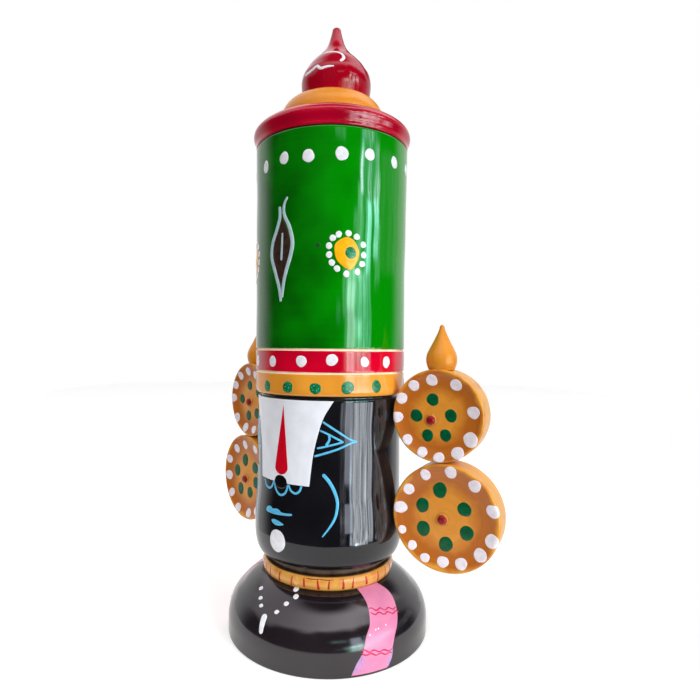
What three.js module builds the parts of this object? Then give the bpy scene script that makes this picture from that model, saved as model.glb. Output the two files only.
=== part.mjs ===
// Turned and lacquered wooden figure: a squat shouldered base, a neck ring, a cylindrical
// head, a tall crown with a moulded cap and an onion finial, and on each side of the head
// an ear ornament of two dished discs with a drop on top.
// Millimetres, +Z up, origin at the centre of the underside, the figure looks along -Y,
// so its own left ear is on +X.
import * as THREE from 'three';

// Driving sizes
const GAP = 0.3;                  // between pieces that rest on each other
const BODY_SEGMENTS = 36;         // sides of the large turned pieces
const DISC_SEGMENTS = 28;         // sides of the ear discs and the finial
const SMALL_SEGMENTS = 20;        // sides of the ear drops

const BASE_RADIUS = 41.7;         // straight wall of the base
const SHOULDER_ROUND = 15.0;      // arc between the wall and the 45 degree shoulder
const SHOULDER_START = 5.7;       // height where that arc leaves the wall
const UPPER_ROUND = 35.8;         // wider arc that carries the shoulder on to the top
const UPPER_ROUND_STOP = 66.4;    // degrees where that arc stops
const BASE_TOP = 23.8;            // flat top that the neck ring stands on
const NECK_RING_RADIUS = 27.5;
const NECK_RING_TOP = 29.5;
const NECK_RADIUS = 25.4;
const HEAD_FOOT = 32.6;           // underside of the head, above the neck
const HEAD_FOOT_RADIUS = 27.8;
const HEAD_RADIUS = 30.1;         // the straight middle of the head
const HEAD_STRAIGHT = 54.0;       // height where that middle starts
const JAW_RADIUS = 31.2;          // the widest place, low on the head
const JAW_HEIGHT = 43.0;
const HEAD_TOP = 98.0;
const CROWN_RADIUS = 31.35;       // at the foot of the crown
const CROWN_MIDDLE_RADIUS = 31.5;
const CROWN_TOP_RADIUS = 31.9;
const CROWN_FLARE = { low: 135.0, middle: 160.0 };  // heights where the crown widens
const CROWN_TOP = 198.2;
const CAP_RADIUS = 33.4;
const CAP_TOP = 220.5;
const DOME_RADIUS = 22.35;
const FINIAL_RADIUS = 14.75;
const FINIAL_TOP = 253.2;

// The crown's three colours are parted by two narrow grooves cut down to the wood.
const BAND_GROOVES = [
  { low: 106.6, high: 107.4 },
  { low: 115.4, high: 116.3 },
];
const BAND_GROOVE_DEPTH = 0.4;

const DISC_THICKNESS = 11.5;
const UPPER_DISC_RADIUS = 17.7;
const LOWER_DISC_RADIUS = 20.5;
const DISC_LIP = 1.6;             // width of the rim round the dished face
const DISC_DISH = 1.5;            // depth of the dish
const BOSS_FOOT_RADIUS = 2.6;
const BOSS_TOP_RADIUS = 1.8;
const DROP_RADIUS = 5.85;
const DROP_FOOT_RADIUS = 4.5;
const DROP_HEIGHT = 17.4;

// Each ear ornament was fixed by hand, so the two sides differ a little.
// x, y and z are the centre of the upper disc's face, turn is how far the face looks
// outward, and out is how far the lower disc sits outside the upper one.
const EARS = [
  { side: 'left', sign: 1, x: 48.9, y: 2.2, z: 91.2, turn: 8.4, out: 3.25 },
  { side: 'right', sign: -1, x: -49.4, y: 0.9, z: 91.1, turn: -14.5, out: 3.6 },
];

// The finial was glued on slightly off the axis.
const FINIAL_SHIFT = { x: 1.2, y: 0.9 };

const BLACK_LACQUER = { color: 0x15141a, roughness: 0.12, metalness: 0 };
const YELLOW_LACQUER = { color: 0xe8962e, roughness: 0.22, metalness: 0 };
const GREEN_LACQUER = { color: 0x008a0a, roughness: 0.12, metalness: 0 };
const RED_LACQUER = { color: 0xb0001e, roughness: 0.12, metalness: 0 };
const DISC_LACQUER = { color: 0xd0822c, roughness: 0.35, metalness: 0 };

const point = (radius, height) => new THREE.Vector2(radius, height);
const degrees = THREE.MathUtils.degToRad;

// Points of an oval arc about (radius, height); angles in degrees, 0 points outward and
// 90 points up.
function ovalArc(radius, height, across, up, from, to, steps) {
  const points = [];
  for (let i = 0; i <= steps; i += 1) {
    const angle = degrees(from + ((to - from) * i) / steps);
    points.push(point(radius + across * Math.cos(angle), height + up * Math.sin(angle)));
  }
  return points;
}

function roundArc(radius, height, size, from, to, steps) {
  return ovalArc(radius, height, size, size, from, to, steps);
}

// A smooth S-shaped change of radius between two heights, without its end points.
function easedWall(fromRadius, fromHeight, toRadius, toHeight, steps) {
  const points = [];
  for (let i = 1; i < steps; i += 1) {
    const t = i / steps;
    const eased = t * t * (3 - 2 * t);
    points.push(point(
      THREE.MathUtils.lerp(fromRadius, toRadius, eased),
      THREE.MathUtils.lerp(fromHeight, toHeight, t),
    ));
  }
  return points;
}

// A shallow square groove cut round a wall: its four corners, from below.
function groove(radius, low, high, depth) {
  return [
    point(radius, low),
    point(radius - depth, low),
    point(radius - depth, high),
    point(radius, high),
  ];
}

// A smooth outline through points given as [radius, share of the height].
function drawnOutline(foot, height, shares, steps) {
  const outline = new THREE.SplineCurve(
    shares.map(([radius, share]) => point(radius, foot + share * height)),
  );
  return outline.getPoints(steps);
}

// A turned piece: the profile runs from the axis at the bottom to the axis at the top.
function turned(name, profile, segments, finish) {
  const geometry = new THREE.LatheGeometry(profile, segments);
  const mesh = new THREE.Mesh(geometry, new THREE.MeshStandardMaterial(finish));
  mesh.name = name;
  return mesh;
}

// A turned piece that stands upright in the figure.
function upright(name, profile, finish, segments = BODY_SEGMENTS) {
  const mesh = turned(name, profile, segments, finish);
  mesh.geometry.rotateX(Math.PI / 2);
  return mesh;
}

// A rounded lower edge, a wall and a round shoulder of two arcs: the wider one goes on
// where the first one is at 45 degrees, so their centres lie on one slanting line.
function makeBase() {
  const edge = 0.5;
  const shoulderCentre = BASE_RADIUS - SHOULDER_ROUND;
  const step = (UPPER_ROUND - SHOULDER_ROUND) * Math.SQRT1_2;
  return upright('base', [
    point(0, 0),
    ...roundArc(BASE_RADIUS - edge, edge, edge, -90, 0, 2),
    ...roundArc(shoulderCentre, SHOULDER_START, SHOULDER_ROUND, 0, 45, 7),
    ...roundArc(shoulderCentre - step, SHOULDER_START - step, UPPER_ROUND, 50, UPPER_ROUND_STOP, 3),
    point(0, BASE_TOP),
  ], BLACK_LACQUER);
}

// A ring that bulges a little and narrows towards the base.
function makeNeckRing() {
  const foot = BASE_TOP + GAP;
  return upright('neck_ring', [
    point(0, foot),
    ...drawnOutline(foot, NECK_RING_TOP - foot, [
      [26.2, 0],
      [27.2, 0.22],
      [NECK_RING_RADIUS, 0.5],
      [27.3, 0.8],
      [26.9, 0.96],
    ], 6),
    point(26.4, NECK_RING_TOP),
    point(0, NECK_RING_TOP),
  ], YELLOW_LACQUER);
}

// The head and the neck that it stands on are one turning.
function makeHead() {
  const neckFoot = NECK_RING_TOP + GAP;
  const jawAcross = JAW_RADIUS - HEAD_FOOT_RADIUS;
  const jawUp = JAW_HEIGHT - HEAD_FOOT;
  const edge = 0.7;
  return upright('head', [
    point(0, neckFoot),
    point(NECK_RADIUS, neckFoot),
    point(NECK_RADIUS, HEAD_FOOT),
    ...ovalArc(HEAD_FOOT_RADIUS, JAW_HEIGHT, jawAcross, jawUp, -90, 0, 7),
    ...easedWall(JAW_RADIUS, JAW_HEIGHT, HEAD_RADIUS, HEAD_STRAIGHT, 4),
    point(HEAD_RADIUS, HEAD_STRAIGHT),
    ...roundArc(HEAD_RADIUS - edge, HEAD_TOP - edge, edge, 0, 90, 2),
    point(0, HEAD_TOP),
  ], BLACK_LACQUER);
}

// A slightly flaring cylinder with a rounded foot and a sharp upper edge.
function makeCrown() {
  const foot = HEAD_TOP + GAP;
  const round = { across: 0.9, up: 2.4 };
  const edge = 0.6;
  const grooves = BAND_GROOVES.flatMap(
    ({ low, high }) => groove(CROWN_RADIUS, low, high, BAND_GROOVE_DEPTH),
  );
  return upright('crown', [
    point(0, foot),
    ...ovalArc(CROWN_RADIUS - round.across, foot + round.up, round.across, round.up, -90, 0, 3),
    ...grooves,
    point(CROWN_RADIUS, CROWN_FLARE.low),
    point(CROWN_MIDDLE_RADIUS, CROWN_FLARE.middle),
    point(CROWN_TOP_RADIUS, CROWN_TOP - edge),
    point(CROWN_TOP_RADIUS - edge, CROWN_TOP),
    point(0, CROWN_TOP),
  ], GREEN_LACQUER);
}

// The cap is one turning: a rounded red moulding that overhangs the crown, and a low
// yellow dome on it.
function makeCap() {
  const foot = CROWN_TOP + GAP;
  const lowerEdge = 1.0;
  const rim = { height: 204.2, across: 2.9, up: 2.95 };      // the moulding's round edge
  const rimCentre = CAP_RADIUS - rim.across;
  const slope = { radius: 27.25, height: 209.4 };            // knee of its upper slope
  const domeFoot = 211.0;
  const dome = { across: 7.3, low: 1.65 };                   // the dome's round side
  const domeCentre = DOME_RADIUS - dome.across;
  const domeMiddle = domeFoot + dome.low;
  const domeUp = CAP_TOP - domeMiddle;
  return upright('cap', [
    point(0, foot),
    ...roundArc(CAP_RADIUS - 0.2 - lowerEdge, foot + lowerEdge, lowerEdge, -90, 0, 3),
    ...ovalArc(rimCentre, rim.height, rim.across, rim.up, 0, 70, 5),
    point(slope.radius, slope.height),
    point(DOME_RADIUS + 0.3, domeFoot),
    ...ovalArc(domeCentre, domeMiddle, dome.across, domeUp, -10, 90, 7),
    point(0, CAP_TOP),
  ], RED_LACQUER);
}

// An onion: a round belly, drawn up through an ogee to a blunt stem.
function makeFinial() {
  const foot = CAP_TOP + GAP;
  const height = FINIAL_TOP - foot;
  const footRadius = 13.7;
  const bluntTip = 1.3;
  const mesh = upright('finial', [
    point(0, foot),
    ...drawnOutline(foot, height, [
      [footRadius, 0],
      [FINIAL_RADIUS, 0.235],
      [13.4, 0.388],
      [9.9, 0.53],
      [5.05, 0.698],
      [3.0, 0.835],
      [2.1, 0.965],
    ], 15),
    point(bluntTip, foot + 0.99 * height),
    point(0, FINIAL_TOP),
  ], RED_LACQUER, DISC_SEGMENTS);
  mesh.position.set(FINIAL_SHIFT.x, FINIAL_SHIFT.y, 0);
  return mesh;
}

// A thick disc turned with a dished face and a small boss at its centre. Its axis is the
// profile's height: the back is at -thickness, the rim of the face at 0.
function discProfile(radius) {
  const edge = 0.8;
  const lipFall = 0.15;
  const bossTop = 0.1;
  return [
    point(0, -DISC_THICKNESS),
    point(radius - edge, -DISC_THICKNESS),
    point(radius, edge - DISC_THICKNESS),
    point(radius, -edge),
    point(radius - edge, 0),
    point(radius - DISC_LIP, -lipFall),
    point(0.72 * radius, -0.8 * DISC_DISH),
    point(0.45 * radius, -DISC_DISH),
    point(BOSS_FOOT_RADIUS, -DISC_DISH),
    point(BOSS_TOP_RADIUS, -bossTop),
    point(0, bossTop),
  ];
}

// Points the axis of a disc from the profile's height to the way the face looks.
function earDisc(name, radius, centre, turn) {
  const mesh = turned(name, discProfile(radius), DISC_SEGMENTS, DISC_LACQUER);
  mesh.geometry.rotateZ(Math.PI);
  mesh.rotation.z = degrees(turn);
  mesh.position.copy(centre);
  return mesh;
}

// A drop: a round foot that swells and draws in to a point.
function earDrop(name, foot) {
  const mesh = upright(name, [
    point(0, 0),
    ...drawnOutline(0, DROP_HEIGHT, [
      [DROP_FOOT_RADIUS, 0],
      [5.5, 0.13],
      [DROP_RADIUS, 0.29],
      [4.37, 0.59],
      [2.0, 0.86],
      [0.7, 0.985],
    ], 9),
    point(0, DROP_HEIGHT),
  ], YELLOW_LACQUER, SMALL_SEGMENTS);
  mesh.position.copy(foot);
  return mesh;
}

// Two discs, one above the other and just touching, and a drop on top in the middle of
// the upper disc's thickness.
function addEar(group, ear) {
  const turn = degrees(ear.turn);
  const across = new THREE.Vector3(Math.cos(turn), Math.sin(turn), 0);
  const looking = new THREE.Vector3(Math.sin(turn), -Math.cos(turn), 0);
  const upper = new THREE.Vector3(ear.x, ear.y, ear.z);
  const apart = UPPER_DISC_RADIUS + LOWER_DISC_RADIUS + GAP;
  const down = Math.sqrt(apart * apart - ear.out * ear.out);
  const lower = upper.clone().addScaledVector(across, ear.sign * ear.out);
  lower.z -= down;
  const top = upper.clone().addScaledVector(looking, -DISC_THICKNESS / 2);
  top.z += UPPER_DISC_RADIUS + GAP / 2;
  group.add(earDisc(`${ear.side}_ear_upper_disc`, UPPER_DISC_RADIUS, upper, ear.turn));
  group.add(earDisc(`${ear.side}_ear_lower_disc`, LOWER_DISC_RADIUS, lower, ear.turn));
  group.add(earDrop(`${ear.side}_ear_drop`, top));
}

const group = new THREE.Group();
group.add(makeBase(), makeNeckRing(), makeHead(), makeCrown(), makeCap(), makeFinial());
EARS.forEach((ear) => addEar(group, ear));

export default group;
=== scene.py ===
"""A turned and lacquered wooden figure, painted by hand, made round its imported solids.

Sizes are in millimetres until a mesh is made. The figure looks along -Y, and a turn is an
angle in degrees from the front towards its own left ear, which is on +X.
"""

import functools
import logging
import math
from dataclasses import dataclass, field
from enum import Enum

import bpy
import numpy as np
from mathutils import Matrix, Vector


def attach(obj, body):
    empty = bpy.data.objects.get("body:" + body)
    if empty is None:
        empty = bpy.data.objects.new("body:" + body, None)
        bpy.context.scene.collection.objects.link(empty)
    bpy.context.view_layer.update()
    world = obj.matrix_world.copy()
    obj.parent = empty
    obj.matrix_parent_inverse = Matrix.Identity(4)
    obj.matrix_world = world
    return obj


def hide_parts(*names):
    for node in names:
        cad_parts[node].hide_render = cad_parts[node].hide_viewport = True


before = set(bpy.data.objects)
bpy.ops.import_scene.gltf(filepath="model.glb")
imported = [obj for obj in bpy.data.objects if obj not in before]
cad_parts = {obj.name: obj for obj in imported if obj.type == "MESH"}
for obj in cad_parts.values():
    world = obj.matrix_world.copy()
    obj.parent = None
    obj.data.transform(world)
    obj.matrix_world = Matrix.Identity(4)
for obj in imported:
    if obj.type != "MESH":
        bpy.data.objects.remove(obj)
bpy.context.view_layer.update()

Array = np.ndarray
Point = tuple[float, float]
Place = tuple[float, float, float]
Socket = bpy.types.NodeSocket
Term = Socket | float | tuple

MM = 0.001
LOG = logging.getLogger("figure")

# Waves of hand turned wood: how many go round, the length of one along the piece in mm,
# and its share of the unevenness.
RIPPLES = ((1, 71.0, 1.0), (2, 37.0, 0.6), (3, 23.0, 0.4), (9, 43.0, 0.2), (14, 29.0, 0.14),
           (19, 19.0, 0.09))
RIPPLE_FADE = 9.0  # mm from the axis within which the waves die away
FOOT_FADE = 2.0  # mm above a flat foot within which they die away
LOWEST_SLOPE = 0.3  # least outward lean that a wall is measured with
APART = 7.3  # mm in the finish between one mark and the next, so that no two look alike


class Side(Enum):
    """The figure's own side that an ear ornament hangs on."""

    LEFT = 1
    RIGHT = -1


def linear(colour: str) -> tuple[float, float, float, float]:
    """The linear colour and a full alpha of an sRGB hex value.

    Args:
        colour: six hex digits after a hash.

    Returns:
        Red, green, blue and alpha.
    """
    parts = [int(colour[i : i + 2], 16) / 255 for i in (1, 3, 5)]
    made = [p / 12.92 if p <= 0.04045 else ((p + 0.055) / 1.055) ** 2.4 for p in parts]
    return (*made, 1.0)


def node(
    tree: bpy.types.NodeTree,
    kind: str,
    settings: dict | None = None,
    links: dict | None = None,
) -> bpy.types.Node:
    """Adds a node to a tree.

    Args:
        tree: the tree to add it to.
        kind: Blender's name of the node's type.
        settings: values of its own properties and of its inputs, by name or number; "stops"
            holds a colour ramp's places and colours.
        links: the outputs that feed its inputs, by name or number.

    Returns:
        The new node.
    """
    made = tree.nodes.new(kind)
    for key, value in (settings or {}).items():
        if key == "stops":
            ramp = made.color_ramp
            while len(ramp.elements) < len(value):
                ramp.elements.new(1.0)
            for element, (place, colour) in zip(ramp.elements, value):
                element.position = place
                element.color = colour
        elif isinstance(key, str) and hasattr(made, key):
            setattr(made, key, value)
        else:
            made.inputs[key].default_value = value
    for key, source in (links or {}).items():
        tree.links.new(source, made.inputs[key])
    return made


@dataclass
class Graph:
    """A node tree, with short ways to add what the finishes and the surroundings use. A term
    is a fixed value or the output of a node."""

    tree: bpy.types.NodeTree

    def added(self, kind: str, settings: dict, terms: dict) -> bpy.types.Node:
        """A node whose terms are set where they are fixed and linked where they aren't."""
        linked = {key: term for key, term in terms.items() if isinstance(term, Socket)}
        fixed = {key: term for key, term in terms.items() if key not in linked}
        return node(self.tree, kind, {**settings, **fixed}, linked)

    def attribute(self, name: str, output: str) -> Socket:
        """An attribute of the mesh."""
        return node(self.tree, "ShaderNodeAttribute", {"attribute_name": name}).outputs[output]

    def maths(self, operation: str, *terms: Term) -> Socket:
        """A number worked out from up to three numbers."""
        return self.added("ShaderNodeMath", {"operation": operation}, dict(enumerate(terms))).outputs[0]

    def product(self, *shares: Socket) -> Socket:
        """The shares multiplied together."""
        return functools.reduce(lambda total, share: self.maths("MULTIPLY", total, share), shares)

    def ranged(
        self,
        value: Socket,
        low: float,
        high: float,
        to_low: float = 0.0,
        to_high: float = 1.0,
        ease: str = "LINEAR",
    ) -> Socket:
        """A value carried from one range to another and held at its ends.

        Args:
            value: the value.
            low: lower end of its range.
            high: upper end of its range.
            to_low: what low becomes.
            to_high: what high becomes.
            ease: Blender's name of the way between the ends.

        Returns:
            The new value.
        """
        ends = {"From Min": low, "From Max": high, "To Min": to_low, "To Max": to_high}
        settings = {"interpolation_type": ease, **ends}
        return node(self.tree, "ShaderNodeMapRange", settings, {"Value": value}).outputs[0]

    def stretched(self, place: Socket, scale: Place) -> Socket:
        """Coordinates multiplied by a factor each way."""
        return node(self.tree, "ShaderNodeMapping", {"Scale": scale}, {0: place}).outputs[0]

    def noise(self, place: Socket, scale: float, detail: float = 2.0, roughness: float = 0.5) -> Socket:
        """Cloudy noise between 0 and 1."""
        settings = {"Scale": scale, "Detail": detail, "Roughness": roughness}
        return node(self.tree, "ShaderNodeTexNoise", settings, {0: place}).outputs[0]

    def blend(self, share: Socket, below: Term, above: Term) -> Socket:
        """One colour or the other, by a share."""
        terms = {0: share, 6: below, 7: above}
        return self.added("ShaderNodeMix", {"data_type": "RGBA"}, terms).outputs[2]

    def scaled(self, colour: Term, share: Socket) -> Socket:
        """A colour made darker or brighter by a share."""
        terms = {0: colour, "Scale": share}
        return self.added("ShaderNodeVectorMath", {"operation": "SCALE"}, terms).outputs[0]

    def coat(self, colour: Socket, relief: Socket, depth: float, roughness: Term, ior: float) -> None:
        """Ends the tree with a surface.

        Args:
            colour: its colour.
            relief: the height of its finest relief, 0 to 1.
            depth: what a height of 1 is in mm.
            roughness: how far it blurs what it mirrors.
            ior: how strongly it mirrors, as an index of refraction.
        """
        settings = {"Strength": 1.0, "Distance": depth * MM}
        skin = node(self.tree, "ShaderNodeBump", settings, {"Height": relief}).outputs[0]
        terms = {"IOR": ior, "Roughness": roughness, "Base Color": colour, "Normal": skin}
        shader = self.added("ShaderNodeBsdfPrincipled", {}, terms).outputs[0]
        node(self.tree, "ShaderNodeOutputMaterial", None, {0: shader})


def oval(centre: Point, across: float, up: float, start: float, stop: float, steps: int) -> Array:
    """Points of an oval arc: centre plus (across cos a, up sin a) for a from start to stop.

    Args:
        centre: radius and height of the oval's centre.
        across: its half width.
        up: its half height.
        start: first angle in degrees; 0 points outward and 90 up.
        stop: last angle in degrees.
        steps: how many steps lie between them.

    Returns:
        The points, one row each.
    """
    angle = np.radians(np.linspace(start, stop, steps + 1))
    return np.column_stack((centre[0] + across * np.cos(angle), centre[1] + up * np.sin(angle)))


def eased(low: Point, high: Point, steps: int) -> Array:
    """A wall whose radius changes as t t (3 - 2 t) while its height changes evenly.

    Args:
        low: radius and height at the lower end.
        high: radius and height at the upper end.
        steps: how many steps lie between them.

    Returns:
        The points, one row each.
    """
    t = np.linspace(0, 1, steps + 1)
    share = t * t * (3 - 2 * t)
    return np.column_stack((low[0] + (high[0] - low[0]) * share, low[1] + (high[1] - low[1]) * t))


def drawn(points: list[Point] | Array, shares: Array) -> Array:
    """A smooth curve through points: between two of them, the cubic whose slope at each is
    half the step from the point before it to the point after it.

    Args:
        points: the points it runs through, in order.
        shares: where to read it, 0 at the first point and 1 at the last.

    Returns:
        One point for each share.
    """
    p = np.asarray(points, float)
    padded = np.vstack((2 * p[0] - p[1], p, 2 * p[-1] - p[-2]))
    at = np.asarray(shares, float) * (len(p) - 1)
    i = np.clip(at.astype(int), 0, len(p) - 2)
    f = (at - i)[:, None]
    a, b, c, d = padded[i], padded[i + 1], padded[i + 2], padded[i + 3]
    return b + 0.5 * ((c - a) * f + (2 * a - 5 * b + 4 * c - d) * f**2 + (3 * b - a - 3 * c + d) * f**3)


def joined(*runs: list[Point] | Array, longest: float = 0.8) -> Array:
    """Joins runs of points into one profile and fills in its long straight stretches.

    Args:
        runs: the runs, in order.
        longest: the longest step that stays as it is, in mm.

    Returns:
        The profile, with no point twice in a row.
    """
    p = np.vstack([np.asarray(run, float).reshape(-1, 2) for run in runs])
    step = np.hypot(*np.diff(p, axis=0).T)
    p = p[np.concatenate(([True], step > 1e-6))]
    step = np.hypot(*np.diff(p, axis=0).T)
    parts = np.maximum(1, np.ceil(step / longest)).astype(int)
    starts = np.repeat(np.arange(len(step)), parts)
    share = (np.arange(len(starts)) - np.repeat(np.cumsum(parts) - parts, parts)) / parts[starts]
    filled = p[starts] + (p[starts + 1] - p[starts]) * share[:, None]
    return np.vstack((filled, p[-1:]))


def graded(length: float, edge: float, step: float) -> Array:
    """Shares from 0 to 1 along a length, close together where the edge of the paint is round.

    Args:
        length: the whole length in mm.
        edge: how far the rounding reaches in from each end, in mm.
        step: the usual spacing in mm.

    Returns:
        The shares, rising.
    """
    close = edge * np.array((0.0, 0.1, 0.3, 0.6)) / length
    middle = np.linspace(edge / length, 1 - edge / length, max(2, math.ceil(length / step)))
    return np.concatenate((close, middle, 1 - close[::-1]))


@dataclass(frozen=True)
class Axes:
    """Where a turned piece stands.

    front is the direction of turn 0, side that of turn 90, and along is the lathe's axis.
    """

    centre: Place = (0.0, 0.0, 0.0)
    front: Place = (0.0, -1.0, 0.0)
    side: Place = (1.0, 0.0, 0.0)
    along: Place = (0.0, 0.0, 1.0)

    def put(self, radius: Array, turn: Array, height: Array) -> Array:
        """Places of points round the axis.

        Args:
            radius: distances from the axis in mm.
            turn: angles in radians.
            height: distances along the axis in mm.

        Returns:
            centre + radius cos(turn) front + radius sin(turn) side + height along.
        """
        return (
            np.asarray(self.centre)
            + (radius * np.cos(turn))[..., None] * np.asarray(self.front)
            + (radius * np.sin(turn))[..., None] * np.asarray(self.side)
            + (height + 0 * turn)[..., None] * np.asarray(self.along)
        )


@dataclass
class Shell:
    """A closed skin: its corners in mm, its faces, each face's finish, and the lathe
    coordinates of each corner, which the finishes read."""

    corners: Array
    quads: Array
    triangles: Array
    quad_finish: Array
    triangle_finish: Array
    lathe: Array
    reach: Array

    def facing_out(self) -> "Shell":
        """The same shell, turned inside out if its volume comes out negative."""
        fans = np.vstack((self.triangles, self.quads[:, [0, 1, 2]], self.quads[:, [0, 2, 3]]))
        a, b, c = (self.corners[fans[:, k]] - self.corners.mean(0) for k in range(3))
        if np.einsum("ij,ij->", a, np.cross(b, c)) < 0:
            self.quads = self.quads[:, ::-1]
            self.triangles = self.triangles[:, ::-1]
        return self


def grid_faces(rows: int, columns: int, closed: bool) -> Array:
    """Four-cornered faces of a grid whose corners are numbered row by row.

    Args:
        rows: number of rows of corners.
        columns: number of corners in a row.
        closed: True if the last column joins the first.

    Returns:
        The corner numbers of each face.
    """
    i = np.arange(rows - 1)[:, None]
    j = np.arange(columns if closed else columns - 1)[None, :]
    k = (j + 1) % columns
    faces = (i * columns + j, i * columns + k, (i + 1) * columns + k, (i + 1) * columns + j)
    return np.stack(np.broadcast_arrays(*faces), -1).reshape(-1, 4)


@dataclass
class Turning:
    """Wood turned on a lathe: a profile carried round an axis, with hand work's unevenness.

    The profile runs from the axis at one end to the axis at the other.
    """

    profile: Array
    axes: Axes = Axes()
    around: int = 256
    unevenness: float = 0.05
    seed: int = 1
    flat_foot: bool = False
    run: Array = field(init=False)
    normal: Array = field(init=False)

    def __post_init__(self) -> None:
        """Works out the distance along the profile and the outward direction at each point."""
        step = np.diff(self.profile, axis=0)
        self.run = np.concatenate(([0.0], np.cumsum(np.hypot(*step.T))))
        slope = np.gradient(self.profile, self.run, axis=0)
        slope /= np.maximum(np.hypot(*slope.T), 1e-9)[:, None]
        self.normal = np.column_stack((slope[:, 1], -slope[:, 0]))

    def ripple(self, turn: Array, run: Array, radius: Array) -> Array:
        """How far the surface stands out: the sum over a few waves of
        share * sin(lobes * turn + 2 pi run / length + phase), faded out towards the axis.

        Args:
            turn: angles in radians.
            run: distances along the profile in mm.
            radius: distances from the axis in mm.

        Returns:
            The heights in mm.
        """
        phases = np.random.default_rng(self.seed).uniform(0, 2 * np.pi, len(RIPPLES))
        total = 0.0 * (turn + run)
        for (lobes, length, share), phase in zip(RIPPLES, phases):
            total = total + share * np.sin(lobes * turn + 2 * np.pi * run / length + phase)
        return self.unevenness * np.clip(radius / RIPPLE_FADE, 0, 1) * total

    def shell(self, finish: Array | int) -> Shell:
        """The closed skin of the piece.

        Args:
            finish: the finish of each step of the profile, or one for all.

        Returns:
            A grid of the profile's inner points by the turns, with a fan at each pole.
        """
        inner = slice(1, -1)
        rows, columns = len(self.profile) - 2, self.around
        turn = np.broadcast_to(np.linspace(0, 2 * np.pi, columns, endpoint=False), (rows, columns))
        radius, height = (self.profile[inner, k][:, None] for k in (0, 1))
        run = self.run[inner][:, None]
        lift = self.ripple(turn, run, radius)
        if self.flat_foot:
            lift = lift * np.clip(height / FOOT_FADE, 0, 1)
        out = self.normal[inner]
        ring = self.axes.put(radius + lift * out[:, :1], turn, height + lift * out[:, 1:])
        poles = self.axes.put(np.zeros(2), np.zeros(2), self.profile[[0, -1], 1])
        corners = np.vstack((ring.reshape(-1, 3), poles))
        top = (rows - 1) * columns
        j = np.arange(columns)
        k = (j + 1) % columns
        foot, head = np.full(columns, rows * columns), np.full(columns, rows * columns + 1)
        fans = np.vstack((np.column_stack((foot, k, j)), np.column_stack((head, top + j, top + k))))
        widest = self.profile[:, 0].max()
        lathe = np.stack(np.broadcast_arrays(widest * np.cos(turn), widest * np.sin(turn), run), -1)
        reach = np.broadcast_to(radius / widest, (rows, columns)).ravel()
        steps = np.broadcast_to(finish, len(self.profile) - 1)
        return Shell(
            corners,
            grid_faces(rows, columns, True),
            fans,
            np.repeat(steps[1:-1], columns),
            np.repeat(steps[[0, -1]], columns),
            np.vstack((lathe.reshape(-1, 3), (0, 0, 0), (0, 0, self.run[-1]))),
            np.concatenate((reach, (0, 0))),
        ).facing_out()


class Chart:
    """A part of a surface that is painted, laid out flat."""

    def put(self, places: Array, lift: Array) -> Array:
        """Points of the surface, raised by lift."""
        raise NotImplementedError

    def scale(self, places: Array) -> Array:
        """Millimetres on the surface for one unit of each coordinate."""
        raise NotImplementedError


@dataclass
class Wall(Chart):
    """The outside of an upright turning; a place is (turn in degrees, height in mm)."""

    turning: Turning
    low: float
    high: float
    narrowest: float = 0.62

    def __post_init__(self) -> None:
        """Picks the profile's rows between the two heights, leaving out those whose radius is
        under the narrowest share of the widest, which belong to a foot or a top."""
        radius, height = self.turning.profile.T
        wide = radius > self.narrowest * radius.max()
        self.rows = np.flatnonzero((height >= self.low) & (height <= self.high) & wide)

    def read(self, height: Array) -> tuple[Array, ...]:
        """Radius, outward direction and run of the wall at each height."""
        t, rows = self.turning, self.rows
        columns = (t.profile[rows, 0], t.normal[rows, 0], t.normal[rows, 1], t.run[rows])
        return tuple(np.interp(height, t.profile[rows, 1], c) for c in columns)

    def put(self, places: Array, lift: Array) -> Array:
        """Points of the wall.

        Args:
            places: turns in degrees and heights in mm.
            lift: how far each point stands out from the wood in mm.

        Returns:
            The points in mm.
        """
        radius, out, up, run = self.read(places[..., 1])
        turn = np.radians(places[..., 0])
        lift = lift + self.turning.ripple(turn, run, radius)
        return self.turning.axes.put(radius + lift * out, turn, places[..., 1] + lift * up)

    def scale(self, places: Array) -> Array:
        """Millimetres for one degree, and for one mm of height on the sloping wall."""
        radius, out, _, _ = self.read(places[..., 1])
        return np.stack((np.radians(radius), 1 / np.maximum(out, LOWEST_SLOPE)), -1)


@dataclass
class Face(Chart):
    """The dished face of a disc and the start of its edge; a place is (across, up) in mm from
    the face's centre, and goes on over the rim as a tape laid on the wood would."""

    turning: Turning
    first: int
    beyond: int = 10

    def __post_init__(self) -> None:
        """Works out how far along the wood each row lies from the centre of the face."""
        t = self.turning
        self.rows = np.arange(len(t.profile) - 1, self.first - self.beyond, -1)
        past = t.run[self.first] - t.run[self.rows]
        self.reach = np.where(past > 0, t.profile[self.first, 0] + past, t.profile[self.rows, 0])

    def put(self, places: Array, lift: Array) -> Array:
        """Points of the face.

        Args:
            places: distances across and up from the centre in mm.
            lift: how far each point stands out from the wood in mm.

        Returns:
            The points in mm.
        """
        t = self.turning
        away = np.hypot(places[..., 0], places[..., 1])
        turn = np.arctan2(places[..., 1], places[..., 0])
        columns = (t.profile[:, 0], t.profile[:, 1], t.normal[:, 0], t.normal[:, 1], t.run)
        radius, height, out, up, run = (np.interp(away, self.reach, c[self.rows]) for c in columns)
        lift = lift + t.ripple(turn, run, radius)
        return t.axes.put(radius + lift * out, turn, height + lift * up)

    def scale(self, places: Array) -> Array:
        """One millimetre each way."""
        return np.ones(places.shape)


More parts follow.
